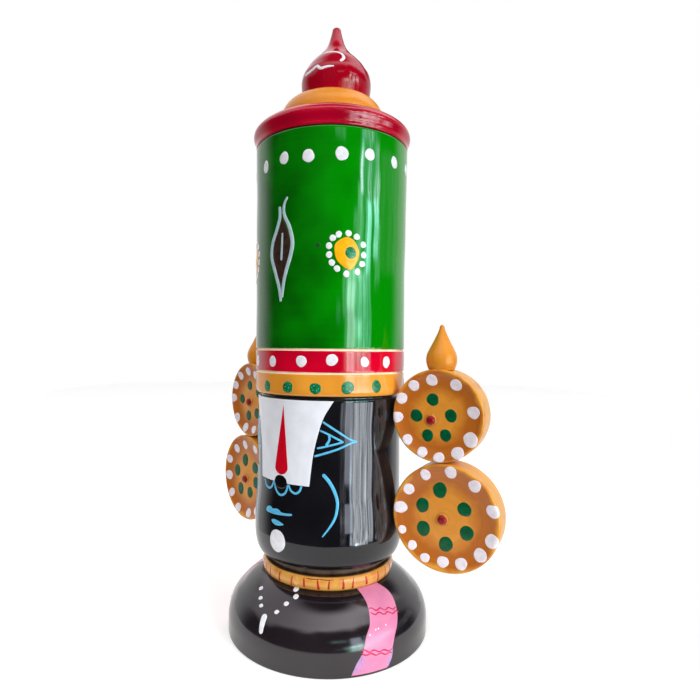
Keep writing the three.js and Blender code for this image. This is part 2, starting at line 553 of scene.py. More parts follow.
def shell_of(corners: Array, quads: Array, triangles: Array, finish: int, lathe: Array) -> Shell:
    """A painted mark's shell, which has one finish all over.

    Args:
        corners: its corners in mm.
        quads: its four-cornered faces.
        triangles: its three-cornered faces.
        finish: number of its finish.
        lathe: flat coordinates of each corner in mm, for the finish to read.

    Returns:
        The shell, facing outward.
    """
    third = np.zeros(len(corners))
    return Shell(
        corners,
        quads,
        triangles,
        np.full(len(quads), finish),
        np.full(len(triangles), finish),
        np.column_stack((lathe, third)),
        third,
    ).facing_out()


@dataclass
class Brush:
    """Lays paint on a chart. Each mark is a closed low mound with a rounded edge, and its
    flat underside is sunk into the wood."""

    chart: Chart
    thickness: float = 0.14
    sink: float = 0.1
    edge: float = 0.3
    step: float = 0.5

    def mounds(self, centres: Array, outlines: Array, finish: int) -> Shell:
        """Dots and blots: rings of the outline, drawn in towards the centre, whose height is
        thickness * sqrt(1 - share ** 6).

        Args:
            centres: the middle of each mark on the chart.
            outlines: for each mark, the outline's points in mm from its middle.
            finish: number of the paint's finish.

        Returns:
            One shell that holds them all.
        """
        centres, outlines = np.asarray(centres, float), np.asarray(outlines, float)
        shares = np.array((0.3, 0.6, 0.8, 0.91, 0.97, 1.0, 1.0))
        heights = self.thickness * np.sqrt(1 - shares**6)
        heights[-1] = -self.sink
        marks, across = outlines.shape[:2]
        rings = len(shares)
        offsets = outlines[:, None] * shares[None, :, None, None]
        flat = offsets / self.chart.scale(centres)[:, None, None, :]
        places = centres[:, None, None, :] + flat
        lift = np.broadcast_to(heights[None, :, None], places.shape[:-1])
        ring_points = self.chart.put(places, lift).reshape(marks, -1, 3)
        ends = [self.chart.put(centres, np.full(marks, h)) for h in (self.thickness, -self.sink)]
        corners = np.concatenate((ring_points, *(e[:, None] for e in ends)), 1)
        size = rings * across + 2
        j = np.arange(across)
        k = (j + 1) % across
        last = (rings - 1) * across
        top, under = np.full(across, size - 2), np.full(across, size - 1)
        fans = np.vstack((np.column_stack((top, k, j)), np.column_stack((under, last + j, last + k))))
        base = (np.arange(marks) * size)[:, None, None]
        lathe = np.concatenate((offsets.reshape(marks, -1, 2), np.zeros((marks, 2, 2))), 1)
        lathe = lathe + (np.arange(marks) * APART)[:, None, None]
        return shell_of(
            corners.reshape(-1, 3),
            (base + grid_faces(rings, across, True)).reshape(-1, 4),
            (base + fans).reshape(-1, 3),
            finish,
            lathe.reshape(-1, 2),
        )

    def dots(self, centres: Array, sizes: Array, finish: int, seed: int, rough: float = 0.05) -> Shell:
        """Round dots, each a little out of round: radius * (1 + a sum of three small waves).

        Args:
            centres: the middle of each dot on the chart.
            sizes: half width and half height of each in mm.
            finish: number of the paint's finish.
            seed: start of the random draws.
            rough: how far out of round they are.

        Returns:
            One shell that holds them all.
        """
        centres = np.asarray(centres, float)
        sizes = np.broadcast_to(np.asarray(sizes, float), centres.shape)
        draw = np.random.default_rng(seed)
        angle = np.linspace(0, 2 * np.pi, 28, endpoint=False)
        waves = 1.0
        for lobes in (2, 3, 5):
            phase = draw.uniform(0, 2 * np.pi, (len(centres), 1))
            share = rough * draw.uniform(0.3, 1, (len(centres), 1)) / lobes * 2
            waves = waves + share * np.sin(lobes * angle + phase)
        outline = np.stack((np.cos(angle) * waves, np.sin(angle) * waves), -1)
        return self.mounds(centres, outline * sizes[:, None, :], finish)

    def blot(self, centre: Point, outline: list[Point], finish: int) -> Shell:
        """One blot whose outline is drawn through points.

        Args:
            centre: its middle on the chart.
            outline: points of the outline in mm from the middle, in order round it.
            finish: number of the paint's finish.

        Returns:
            Its shell.
        """
        points = np.asarray(outline, float)
        count = len(points)
        wrapped = points[np.arange(-2, count + 3) % count]
        shares = (2 + np.linspace(0, count, 56, endpoint=False)) / (count + 4)
        return self.mounds([centre], [drawn(wrapped, shares)], finish)

    def stroke(self, points: list[Point], widths: tuple[float, ...], finish: int) -> Shell:
        """A brush stroke: a low arch carried along a smooth path, closed by round ends.

        The arch is (sin b, thickness * cos(b) ** 0.6) for b from -90 to 90 degrees.

        Args:
            points: the path on the chart.
            widths: widths in mm, evenly spread along it.
            finish: number of the paint's finish.

        Returns:
            Its shell.
        """
        fine = drawn(points, np.linspace(0, 1, 40 * len(points)))
        steps = np.diff(fine, axis=0) * self.chart.scale(fine[1:])
        length = np.concatenate(([0], np.cumsum(np.hypot(*steps.T))))
        total = length[-1]
        ends = 0.5 * np.array((widths[0], widths[-1]))
        near = np.array((0.0, 0.06, 0.2, 0.4, 0.65, 1.0))
        count = max(3, math.ceil(total / self.step))
        middle = np.linspace(min(ends[0], 0.4 * total), total - min(ends[1], 0.4 * total), count)
        at = np.unique(np.concatenate((near * middle[0], middle, total - near * (total - middle[-1]))))
        path = np.column_stack([np.interp(at, length, fine[:, k]) for k in (0, 1)])
        scale = self.chart.scale(path)
        ahead = np.gradient(path, at, axis=0) * scale
        ahead /= np.maximum(np.hypot(*ahead.T), 1e-9)[:, None]
        side = np.column_stack((-ahead[:, 1], ahead[:, 0])) / scale
        half = 0.5 * drawn([(w, 0) for w in widths], at / total)[:, 0]
        for away, end in ((at, ends[0]), (total - at, ends[1])):
            half = half * np.sqrt(np.clip(1 - (1 - np.clip(away / end, 0, 1)) ** 2, 0.01, 1))
        bend = np.radians(np.linspace(-90, 90, 9))
        reach = np.concatenate((np.sin(bend), (1, -1)))
        lift = np.concatenate((self.thickness * np.cos(bend).clip(0) ** 0.6, (-self.sink, -self.sink)))
        places = path[:, None] + side[:, None] * (half[:, None] * reach)[..., None]
        low = np.minimum(1, half / half.max() * 1.5)[:, None]
        corners = self.chart.put(places, np.where(lift > 0, lift * low, lift))
        rows, columns = corners.shape[:2]
        middle_points = corners.mean(1)[[0, -1]]
        j = np.arange(columns)
        k = (j + 1) % columns
        last = (rows - 1) * columns
        count = rows * columns
        caps = np.vstack((
            np.column_stack((np.full(columns, count), k, j)),
            np.column_stack((np.full(columns, count + 1), last + j, last + k)),
        ))
        lathe = np.stack(np.broadcast_arrays(at[:, None] + 0 * reach, half[:, None] * reach), -1)
        return shell_of(
            np.vstack((corners.reshape(-1, 3), middle_points)),
            grid_faces(rows, columns, True),
            caps,
            finish,
            np.vstack((lathe.reshape(-1, 2), (0, 0), (total, 0))),
        )

    def sheet(self, left: list[Point], right: list[Point], finish: int) -> Shell:
        """A painted area between two edges. The height rises from 0 at the outline to the
        thickness in a quarter round.

        Args:
            left: points of one edge on the chart, from one end of the area to the other.
            right: points of the other edge, the same way.
            finish: number of the paint's finish.

        Returns:
            Its shell.
        """
        rough_rows = np.linspace(0, 1, 40)
        edges = [drawn(points, rough_rows) for points in (left, right)]
        middle = (edges[0] + edges[1]) / 2
        scale = self.chart.scale(middle)
        tall = np.hypot(*(np.diff(middle, axis=0) * scale[1:]).T).sum()
        wide = np.hypot(*((edges[1] - edges[0]) * scale).T)
        t = graded(tall, self.edge, self.step)
        q = graded(wide.max(), self.edge, self.step)
        first, second = (drawn(points, t) for points in (left, right))
        places = first[:, None] + (second - first)[:, None] * q[:, None]
        width = np.interp(t, rough_rows, wide)[:, None]
        away = np.minimum(np.minimum(q * width, (1 - q) * width), np.minimum(t, 1 - t)[:, None] * tall)
        lift = self.thickness * np.sqrt(1 - (1 - np.clip(away / self.edge, 0, 1)) ** 2)
        rows, columns = lift.shape
        heights = (lift, 0 * lift - self.sink)
        corners = np.concatenate([self.chart.put(places, h).reshape(-1, 3) for h in heights])
        top = grid_faces(rows, columns, False)
        size = rows * columns
        number = np.arange(size).reshape(rows, columns)
        rim = np.concatenate((number[0, :-1], number[:-1, -1], number[-1, :0:-1], number[:0:-1, 0]))
        after = np.roll(rim, -1)
        wall = np.column_stack((rim + size, after + size, after, rim))
        flat = np.stack(np.broadcast_arrays(q * wide.max(), t[:, None] * tall), -1).reshape(-1, 2)
        quads = np.vstack((top, top[:, ::-1] + size, wall[:, ::-1]))
        return shell_of(corners, quads, np.zeros((0, 3), int), finish, np.vstack((flat, flat)))


def object_of(name: str, shells: list[Shell], finishes: list[bpy.types.Material]) -> bpy.types.Object:
    """Makes one object of several shells.

    Args:
        name: the object's name.
        shells: its shells, in mm.
        finishes: the materials that the shells' finish numbers stand for.

    Returns:
        The object, at the origin, with its place in its mesh.
    """
    counts = np.cumsum([0] + [len(s.corners) for s in shells])
    corners = np.vstack([s.corners for s in shells]) * MM
    quads = np.vstack([s.quads + n for s, n in zip(shells, counts)])
    triangles = np.vstack([s.triangles + n for s, n in zip(shells, counts)])
    finish = np.concatenate([s.quad_finish for s in shells] + [s.triangle_finish for s in shells])
    mesh = bpy.data.meshes.new(name)
    mesh.from_pydata(corners.tolist(), [], quads.tolist() + triangles.tolist())
    for material in finishes:
        mesh.materials.append(material)
    mesh.polygons.foreach_set("material_index", finish.astype(np.int32))
    mesh.polygons.foreach_set("use_smooth", np.ones(len(finish), bool))
    lathe = mesh.attributes.new("lathe", "FLOAT_VECTOR", "POINT")
    lathe.data.foreach_set("vector", np.vstack([s.lathe for s in shells]).astype(np.float32).ravel())
    reach = mesh.attributes.new("reach", "FLOAT", "POINT")
    reach.data.foreach_set("value", np.concatenate([s.reach for s in shells]).astype(np.float32))
    mesh.validate(clean_customdata=False)
    mesh.update()
    made = bpy.data.objects.new(name, mesh)
    bpy.context.scene.collection.objects.link(made)
    return made


def settle(piece: bpy.types.Object, stands_for: str) -> None:
    """Joins a piece to the frame and reports it.

    Args:
        piece: the finished piece.
        stands_for: the solid that it takes the place of.
    """
    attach(piece, "root")
    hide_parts(stands_for)
    LOG.info("%s: %d faces, for %s", piece.name, len(piece.data.polygons), stands_for)


def opened(name: str) -> tuple[bpy.types.Material, Graph]:
    """A new material with an empty tree.

    Args:
        name: the material's name.

    Returns:
        The material and its tree's graph.
    """
    material = bpy.data.materials.new(name)
    material.use_nodes = True
    material.node_tree.nodes.clear()
    return material, Graph(material.node_tree)


@dataclass(frozen=True)
class Lacquer:
    """Coloured lac, melted onto the wood while it turns and polished with a leaf.

    The eye sees a clear deep colour with faint rings from the tool under it, patches where
    more or less lac lies, and glassy reflections that the slight unevenness breaks up. Where
    the share of painted light isn't 0, the colour is painted brighter towards the side that the
    light falls on, at the turn given: the share is how much for each mm that way.
    """

    name: str
    colour: str
    deep: str
    roughness: float = 0.07
    ring_pitch: float = 1.3
    patch: float = 17.0
    ring_share: float = 0.1
    ring_depth: float = 0.0012
    ior: float = 1.5
    # Painted light: the turn of the lit side, and how much brighter the colour is painted for each mm
    # towards it.
    painted_light_turn: float = 0.0
    painted_light_share: float = 0.0

    def material(self) -> bpy.types.Material:
        """The finish as a material that reads the piece's lathe coordinates in mm."""
        material, graph = opened(self.name)
        lathe = graph.attribute("lathe", "Vector")
        rings = graph.noise(graph.stretched(lathe, (0.03, 0.03, 1 / self.ring_pitch)), 1.0, 3.0)
        cloud = graph.noise(lathe, 1 / self.patch)
        depth = graph.maths("MULTIPLY_ADD", rings, self.ring_share, cloud)
        # Painted light: the colour is made brighter towards the lit side.
        if self.painted_light_share:
            turn = math.radians(self.painted_light_turn)
            terms = {0: lathe, 1: (math.cos(turn), math.sin(turn), 0.0)}
            shared = graph.added("ShaderNodeVectorMath", {"operation": "DOT_PRODUCT"}, terms)
            towards = shared.outputs["Value"]
            depth = graph.maths("MULTIPLY_ADD", towards, self.painted_light_share, depth)
        middle, spread = 0.5 + 0.5 * self.ring_share, 0.2
        share = graph.ranged(depth, middle - spread, middle + spread)
        colour = graph.blend(share, linear(self.deep), linear(self.colour))
        sheen = graph.ranged(cloud, 0, 1, 0.7 * self.roughness, 1.4 * self.roughness)
        graph.coat(colour, rings, self.ring_depth, sheen, self.ior)
        return material


@dataclass(frozen=True)
class Enamel:
    """Oil paint put on with a small brush: opaque, a little uneven, with a soft gloss and
    fine ridges that the hairs left."""

    name: str
    colour: str
    thin: str
    roughness: float = 0.22
    worn: str = ""
    hair_pitch: float = 0.45
    patch: float = 2.2
    speck: float = 0.55
    ridge: float = 0.012
    ior: float = 1.48

    def material(self) -> bpy.types.Material:
        """The finish as a material that reads each mark's flat coordinates in mm."""
        material, graph = opened(self.name)
        flat = graph.attribute("lathe", "Vector")
        hairs = graph.noise(graph.stretched(flat, (0.25, 1 / self.hair_pitch, 1)), 1.0)
        share = graph.ranged(graph.noise(flat, 1 / self.patch), 0.35, 0.6)
        colour = graph.blend(share, linear(self.thin), linear(self.colour))
        if self.worn:
            bare = graph.ranged(graph.noise(flat, 1 / self.speck, 1.0), 0.6, 0.7)
            colour = graph.blend(bare, colour, linear(self.worn))
        graph.coat(colour, hairs, self.ridge, self.roughness, self.ior)
        return material


@dataclass(frozen=True)
class DiscLacquer:
    """Yellow lac on a dished disc, with painted shade: brownish orange in a ring near the rim,
    where the hollow turns from the light, golden towards the middle and a little lighter on the
    edge; with a satin gloss."""

    name: str
    golden: str
    brown: str
    edge: str
    roughness: float = 0.33
    ring_depth: float = 0.015

    def material(self) -> bpy.types.Material:
        """The finish as a material that reads how far out each point of the disc lies."""
        material, graph = opened(self.name)
        lathe = graph.attribute("lathe", "Vector")
        rings = graph.noise(graph.stretched(lathe, (0.04, 0.04, 0.9)), 1.0, 3.0)
        wander = graph.maths("MULTIPLY_ADD", graph.noise(lathe, 0.12), 0.3, graph.attribute("reach", "Fac"))
        stops = (
            (0.15, self.golden),
            (0.56, self.golden),
            # Painted shade: the brown ring where the hollow turns from the light.
            (0.82, self.brown),
            (1.06, self.brown),
            (1.14, self.edge),
        )
        furthest = 1.2
        ramp = node(
            graph.tree,
            "ShaderNodeValToRGB",
            {"stops": [(place / furthest, linear(colour)) for place, colour in stops]},
            {0: graph.maths("DIVIDE", wander, furthest)},
        )
        colour = graph.scaled(ramp.outputs[0], graph.ranged(rings, 0, 1, 0.84, 1.1))
        graph.coat(colour, rings, self.ring_depth, self.roughness, 1.5)
        return material


@dataclass(frozen=True)
class BareWood:
    """Pale close-grained wood as the tool left it, with faint growth rings and a dry surface."""

    name: str
    light: str
    dark: str
    grain: float = 2.6
    relief: float = 0.03
    roughness: float = 0.6

    def material(self) -> bpy.types.Material:
        """The finish as a material that reads Object coordinates in metres."""
        material, graph = opened(self.name)
        place = node(graph.tree, "ShaderNodeTexCoord").outputs["Object"]
        scale = 1 / (self.grain * MM)
        fibre = graph.noise(graph.stretched(place, (scale, scale, 0.08 * scale)), 1.0, 4.0)
        colour = graph.blend(graph.ranged(fibre, 0.3, 0.7), linear(self.dark), linear(self.light))
        graph.coat(colour, fibre, self.relief, self.roughness, 1.45)
        return material


class Finish(Enum):
    """The finishes of the figure, by what they are."""

    BLACK = Lacquer("black_lacquer_polished", "#17161B", "#0D0C10", roughness=0.06)
    BLACK_HANDLED = Lacquer("black_lacquer_handled", "#221B20", "#161115", roughness=0.12, ior=1.6)
    # Painted light: the green is painted brighter towards turn 110, the lit side.
    GREEN = Lacquer(
        "green_lacquer_polished", "#008600", "#005400",
        roughness=0.06, patch=22.0, painted_light_turn=110.0, painted_light_share=0.012,
    )
    # Painted light: the scarlet band is painted brighter towards turn 90, the lit side.
    SCARLET_BAND = Lacquer(
        "scarlet_lacquer_polished", "#D8002A", "#AE0021", roughness=0.08, painted_light_turn=90.0, painted_light_share=0.006
    )
    RED = Lacquer("red_lacquer_polished", "#BC0028", "#A60022", roughness=0.13)
    CHERRY = Lacquer("cherry_lacquer_polished", "#AC0020", "#96001A", roughness=0.1, ior=1.38)
    # Painted light: the yellow band is painted brighter towards turn 90, the lit side.
    YELLOW = Lacquer(
        "yellow_lacquer_polished", "#EC9E34", "#D4862A", roughness=0.12, painted_light_turn=90.0, painted_light_share=0.006
    )
    YELLOW_SOFT = Lacquer("yellow_lacquer_soft", "#E0902C", "#D28424", roughness=0.28, ior=1.4)
    RING = Lacquer(
        "yellow_lacquer_worn", "#D8A048", "#C68034",
        roughness=0.2, patch=5.0, ring_share=0.5, ring_depth=0.01,
    )
    # The disc's brown is painted shade in the hollow of the dish.
    DISC = DiscLacquer("yellow_lacquer_satin", "#DC9030", "#B8661C", "#DE9A36")
    WOOD = BareWood("bare_wood_turned", "#FFEBD2", "#F6D9B4")
    STAINED = BareWood("stained_wood_turned", "#5A4432", "#2C211A", roughness=0.35)
    WHITE = Enamel("white_enamel_brushed", "#E9EAEF", "#DDDEE4")
    MILK = Enamel("milk_white_enamel_brushed", "#E8EBF2", "#E0E3EA", patch=9.0)
    CHALK = Enamel("chalk_white_enamel_brushed", "#F1EAF2", "#E3DCE5")
    LEAF = Enamel("green_enamel_brushed", "#005A34", "#004C2B", ior=1.36)
    LEAF_WORN = Enamel("green_enamel_worn", "#00784A", "#006238", worn="#7CBF9A")
    SCARLET = Enamel("scarlet_enamel_brushed", "#CC0020", "#C0001E")
    CRIMSON = Enamel("crimson_enamel_brushed", "#900418", "#780814", roughness=0.3)
    SKY = Enamel("sky_blue_enamel_brushed", "#5ABBE2", "#4EADD6")
    MIST = Enamel("grey_blue_enamel_brushed", "#B4CCD2", "#A4BFC7")
    UMBER = Enamel("umber_enamel_brushed", "#3D2A22", "#2E1F1A")
    AMBER = Enamel("amber_enamel_brushed", "#FFB60A", "#F5A800")
    AMBER_WORN = Enamel("yellow_filler_rubbed", "#E0A862", "#CC8C48", roughness=0.35)
    SCUFF = Enamel("dark_scuff_rubbed", "#0F3A10", "#0A5A10", roughness=0.35, patch=0.5)
    BLACKEST = Enamel("black_enamel_brushed", "#0D0C10", "#0A090C", roughness=0.1)
    PINK = Enamel("pink_enamel_brushed", "#D884A8", "#D07CA2", patch=6.0)
    MAGENTA = Enamel("magenta_enamel_brushed", "#C81E58", "#B81A50")
    # Lilac paint for the painted reflection on the scarves.
    LILAC_REFLECTION = Enamel("lilac_painted_reflection", "#B292C4", "#A084BC")
    TICK = Enamel("brown_red_enamel_brushed", "#B8220E", "#98180C")
    # Painted shadow round the foot of each disc's peg; the peg's foot has the same colour.
    PEG_SHADE = Enamel("brown_painted_peg_shade", "#D08A30", "#BE7826", roughness=0.4)

    def made(self) -> bpy.types.Material:
        """The material, made the first time that it is asked for."""
        return bpy.data.materials.get(self.value.name) or self.value.material()


@dataclass
class Palette:
    """The finishes of one piece, numbered in the order in which they are first used."""

    used: list[Finish] = field(default_factory=list)

    def number(self, finish: Finish) -> int:
        """The number of a finish on this piece."""
        if finish not in self.used:
            self.used.append(finish)
        return self.used.index(finish)

    def materials(self) -> list[bpy.types.Material]:
        """The piece's materials, in order."""
        return [finish.made() for finish in self.used]


def banded(profile: Array, bands: list[tuple[float, int]]) -> Array:
    """The finish of each step of a profile by height.

    Args:
        profile: the profile.
        bands: the height in mm up to which each finish goes, and its number, from below.

    Returns:
        One number for each step.
    """
    middle = (profile[1:, 1] + profile[:-1, 1]) / 2
    tops = np.array([top for top, _ in bands])
    numbers = np.array([number for _, number in bands])
    return numbers[np.searchsorted(tops, middle).clip(0, len(bands) - 1)]


@dataclass
class Base:
    """The squat shouldered base with its painted garland and two scarf ends."""

    radius: float = 41.7
    shoulder: float = 15.0
    shoulder_start: float = 5.7
    slope_stop: Point = (35.0, 18.62)
    upper_round: float = 21.5
    upper_stop: float = 72.4
    foot_edge: float = 0.5

    def turning(self) -> Turning:
        """A rounded foot, a wall, a round shoulder, a 45 degree slope and a second round that
        carries it over to the flat top."""
        edge, diagonal = self.foot_edge, math.sqrt(0.5)
        middle = (self.radius - self.shoulder, self.shoulder_start)
        centre = tuple(place - self.upper_round * diagonal for place in self.slope_stop)
        upper = oval(centre, self.upper_round, self.upper_round, 45, self.upper_stop, 18)
        return Turning(
            joined(
                joined([(0, 0), (self.radius - edge, 0)], longest=3.0),
                oval((self.radius - edge, edge), edge, edge, -90, 0, 8),
                oval(middle, self.shoulder, self.shoulder, 0, 45, 26),
                upper,
                joined([upper[-1], (0, upper[-1, 1])], longest=2.0),
                longest=0.6,
            ),
            seed=3,
            flat_foot=True,
        )

    def garland(self, brush: Brush, paint: int) -> list[Shell]:
        """White beads that run down from both sides to a pendant at the front. Each is a short
        stroke that slants by a few tenths of a degree."""
        beads = [(-19.3, 21.2, 0.315), (-12.8, 19.4, 0.315), (-8.5, 17.9, 0.315), (9.9, 23.75, 0.315),
                 (13.1, 22.4, 0.495), (8.7, 20.5, 0.495), (4.7, 18.0, 0.495)]
        above, below = 0.56, 0.48
        shells = []
        for turn, height, slant in beads:
            path = [(turn - slant, height + above), (turn, height), (turn + slant, height - below)]
            shells.append(brush.stroke(path, (1.75, 2.15, 1.75), paint))
        pendant = brush.stroke([(-2.2, 16.6), (-1.3, 13.8), (-0.3, 11.0)], (2.6, 2.4, 1.6), paint)
        return [*shells, pendant]

    def scarf(self, brush: Brush, palette: Palette, side: Side) -> list[Shell]:
        """A pink scarf end that falls over one shoulder, with two pairs of wavy lines, lilac
        streaks near its foot that are a painted reflection, and white specks that are painted
        highlights.
        """
        hand = side.value

        def turned(points: list[Point]) -> list[Point]:
            """The points on this side of the figure."""
            return [(hand * turn, height) for turn, height in points]

        inner = [(62.4, 24.05), (63.6, 22.3), (63.4, 19.6), (61.0, 15.95), (57.6, 13.2), (55.3, 9.8),
                 (53.4, 5.6), (48.6, 0.9)]
        outer = [(84.2, 24.0), (86.6, 21.7), (84.6, 18.6), (81.6, 16.1), (77.8, 13.4), (74.0, 10.4),
                 (71.0, 6.0), (68.4, 0.9)]
        shells = [brush.sheet(turned(inner), turned(outer), palette.number(Finish.PINK))]
        line = Brush(brush.chart, thickness=brush.thickness + 0.06, sink=0.0, step=0.35)
        share, apart, waves, swing = np.linspace(0, 1, 25), 0.55, 3.2, 0.3
        magenta, widths = palette.number(Finish.MAGENTA), (0.5, 0.7, 0.55, 0.65, 0.5)
        for start, stop in (((63.7, 18.9), (83.0, 16.9)), ((53.8, 8.6), (71.6, 6.2))):
            turns, heights = (a + (b - a) * share for a, b in zip(start, stop))
            for shift, phase in ((apart, 0.0), (-apart, 2.1)):
                wave = swing * np.sin(2 * np.pi * waves * share + phase)
                path = list(zip(turns, heights + shift + wave))
                shells.append(line.stroke(turned(path), widths, magenta))
        # Painted reflection: lilac streaks near the foot of the scarf.
        reflection_streaks = (
            ([(54.3, 7.6), (52.2, 5.0), (49.4, 1.4)], 1.0),
            ([(54.6, 7.2), (53.4, 4.8), (51.0, 1.5)], 0.5),
            ([(55.6, 6.8), (54.8, 4.6), (52.8, 1.5)], 0.8),
            ([(57.0, 6.4), (56.4, 4.2), (54.9, 1.6)], 0.4),
            ([(58.6, 6.0), (58.2, 4.0), (57.4, 1.8)], 0.35),
            ([(71.6, 7.4), (70.6, 4.2), (68.6, 1.3)], 1.1),
            ([(69.4, 5.0), (68.7, 3.4), (67.5, 1.6)], 0.5),
        )
        reflection_lilac, white = palette.number(Finish.LILAC_REFLECTION), palette.number(Finish.WHITE)
        for points, width in reflection_streaks:
            shells.append(line.stroke(turned(points), (0.5 * width, width, 0.6 * width), reflection_lilac))
        # Painted highlights: small white specks on the scarf.
        glint_specks = turned([(59.5, 13.2), (63.5, 14.2), (65.2, 14.3), (70.5, 14.6)])
        shells.append(line.dots(glint_specks, [(0.34, 0.34)], white, seed=56, rough=0.2))
        return shells

    def build(self) -> bpy.types.Object:
        """The base as one piece."""
        palette = Palette()
        turning = self.turning()
        lacquer, wood = palette.number(Finish.BLACK_HANDLED), palette.number(Finish.WOOD)
        brush = Brush(Wall(turning, 0.3, 24.2))
        shells = [turning.shell(banded(turning.profile, [(0.02, wood), (99.0, lacquer)]))]
        shells += self.garland(brush, palette.number(Finish.WHITE))
        for side in Side:
            shells += self.scarf(brush, palette, side)
        return object_of("shouldered_base", shells, palette.materials())


@dataclass
class NeckRing:
    """The yellow ring round the neck, ticked with brown-red lines."""

    foot_radius: float = 26.2
    low: float = 24.1
    top: float = 29.5
    outline: tuple[Point, ...] = ((27.05, 24.9), (27.4, 25.9), (27.5, 26.9), (27.4, 28.0), (27.15, 28.8),
                                  (26.85, 29.3))

    def ledge(self) -> list[Point]:
        """The upper edge and the flat top, from the outside to the axis."""
        edge = [(26.5, 29.46), (26.1, self.top)]
        return [*edge, *joined([(26.0, self.top), (0, self.top)], longest=1.2)]

    def ticks(self, brush: Brush, paint: int) -> list[Shell]:
        """Short upright strokes, thick at the foot and thin at the top. The seen ones stand
        where the brush put them and the others follow evenly."""
        draw = np.random.default_rng(21)
        seen = ((-20.3, 0.5), (-6.8, 0.8), (6.4, 0.45), (17.5, 0.7), (29.0, 0.8), (37.8, 0.6), (49.1, 0.75),
                (57.5, 0.6), (69.6, 0.8), (82.5, 0.7))
        turns = [turn for turn, _ in seen]
        widths = [width for _, width in seen]
        hidden = np.arange(93.0, 335.0, 10.4)
        turns += list(hidden + draw.uniform(-1.3, 1.3, len(hidden)))
        widths += list(draw.uniform(0.45, 0.85, len(hidden)))
        shells = []
        for turn, width in zip(turns, widths):
            lean, low, high = draw.uniform(-1.4, 1.4), draw.uniform(24.9, 25.5), draw.uniform(28.7, 29.1)
            middle = (turn + draw.uniform(-0.3, 0.3), 26.9)
            path = [(turn - lean / 2, low), middle, (turn + lean / 2, high)]
            shells.append(brush.stroke(path, (1.35 * width, 1.15 * width, 0.5 * width), paint))
        return shells

    def wear(self, brush: Brush, palette: Palette) -> list[Shell]:
        """A plug of filler beside the front and a dark crack along the upper edge."""
        filler = palette.number(Finish.AMBER_WORN)
        plug = brush.dots([(10.1, 27.2)], [(1.15, 1.7)], filler, seed=61, rough=0.08)
        thin = Brush(brush.chart, thickness=0.03, sink=0.05, step=0.4)
        crack = [(18.6, 28.9), (24.0, 28.75), (29.5, 28.95), (36.0, 28.7), (42.0, 28.85)]
        return [plug, thin.stroke(crack, (0.12, 0.3, 0.2, 0.3, 0.1), palette.number(Finish.UMBER))]

    def build(self) -> bpy.types.Object:
        """The ring as one piece; its flat top is stained where the neck was glued in."""
        palette = Palette()
        ring, stained = palette.number(Finish.RING), palette.number(Finish.STAINED)
        body = drawn([(self.foot_radius, self.low + 0.1), *self.outline], np.linspace(0, 1, 30))
        foot = joined([(0, self.low), (self.foot_radius - 0.1, self.low)], longest=4.0)
        profile = joined(foot, body, self.ledge(), longest=0.5)
        turning = Turning(profile, unevenness=0.09, seed=5)
        steps = np.where((profile[1:, 1] > self.top - 0.02) & (profile[1:, 0] < 26.2), stained, ring)
        brush = Brush(Wall(turning, self.low + 0.2, self.top - 0.02), thickness=0.07, sink=0.08)
        shells = [turning.shell(steps), *self.ticks(brush, palette.number(Finish.TICK))]
        shells += self.wear(brush, palette)
        return object_of("neck_ring_turning", shells, palette.materials())


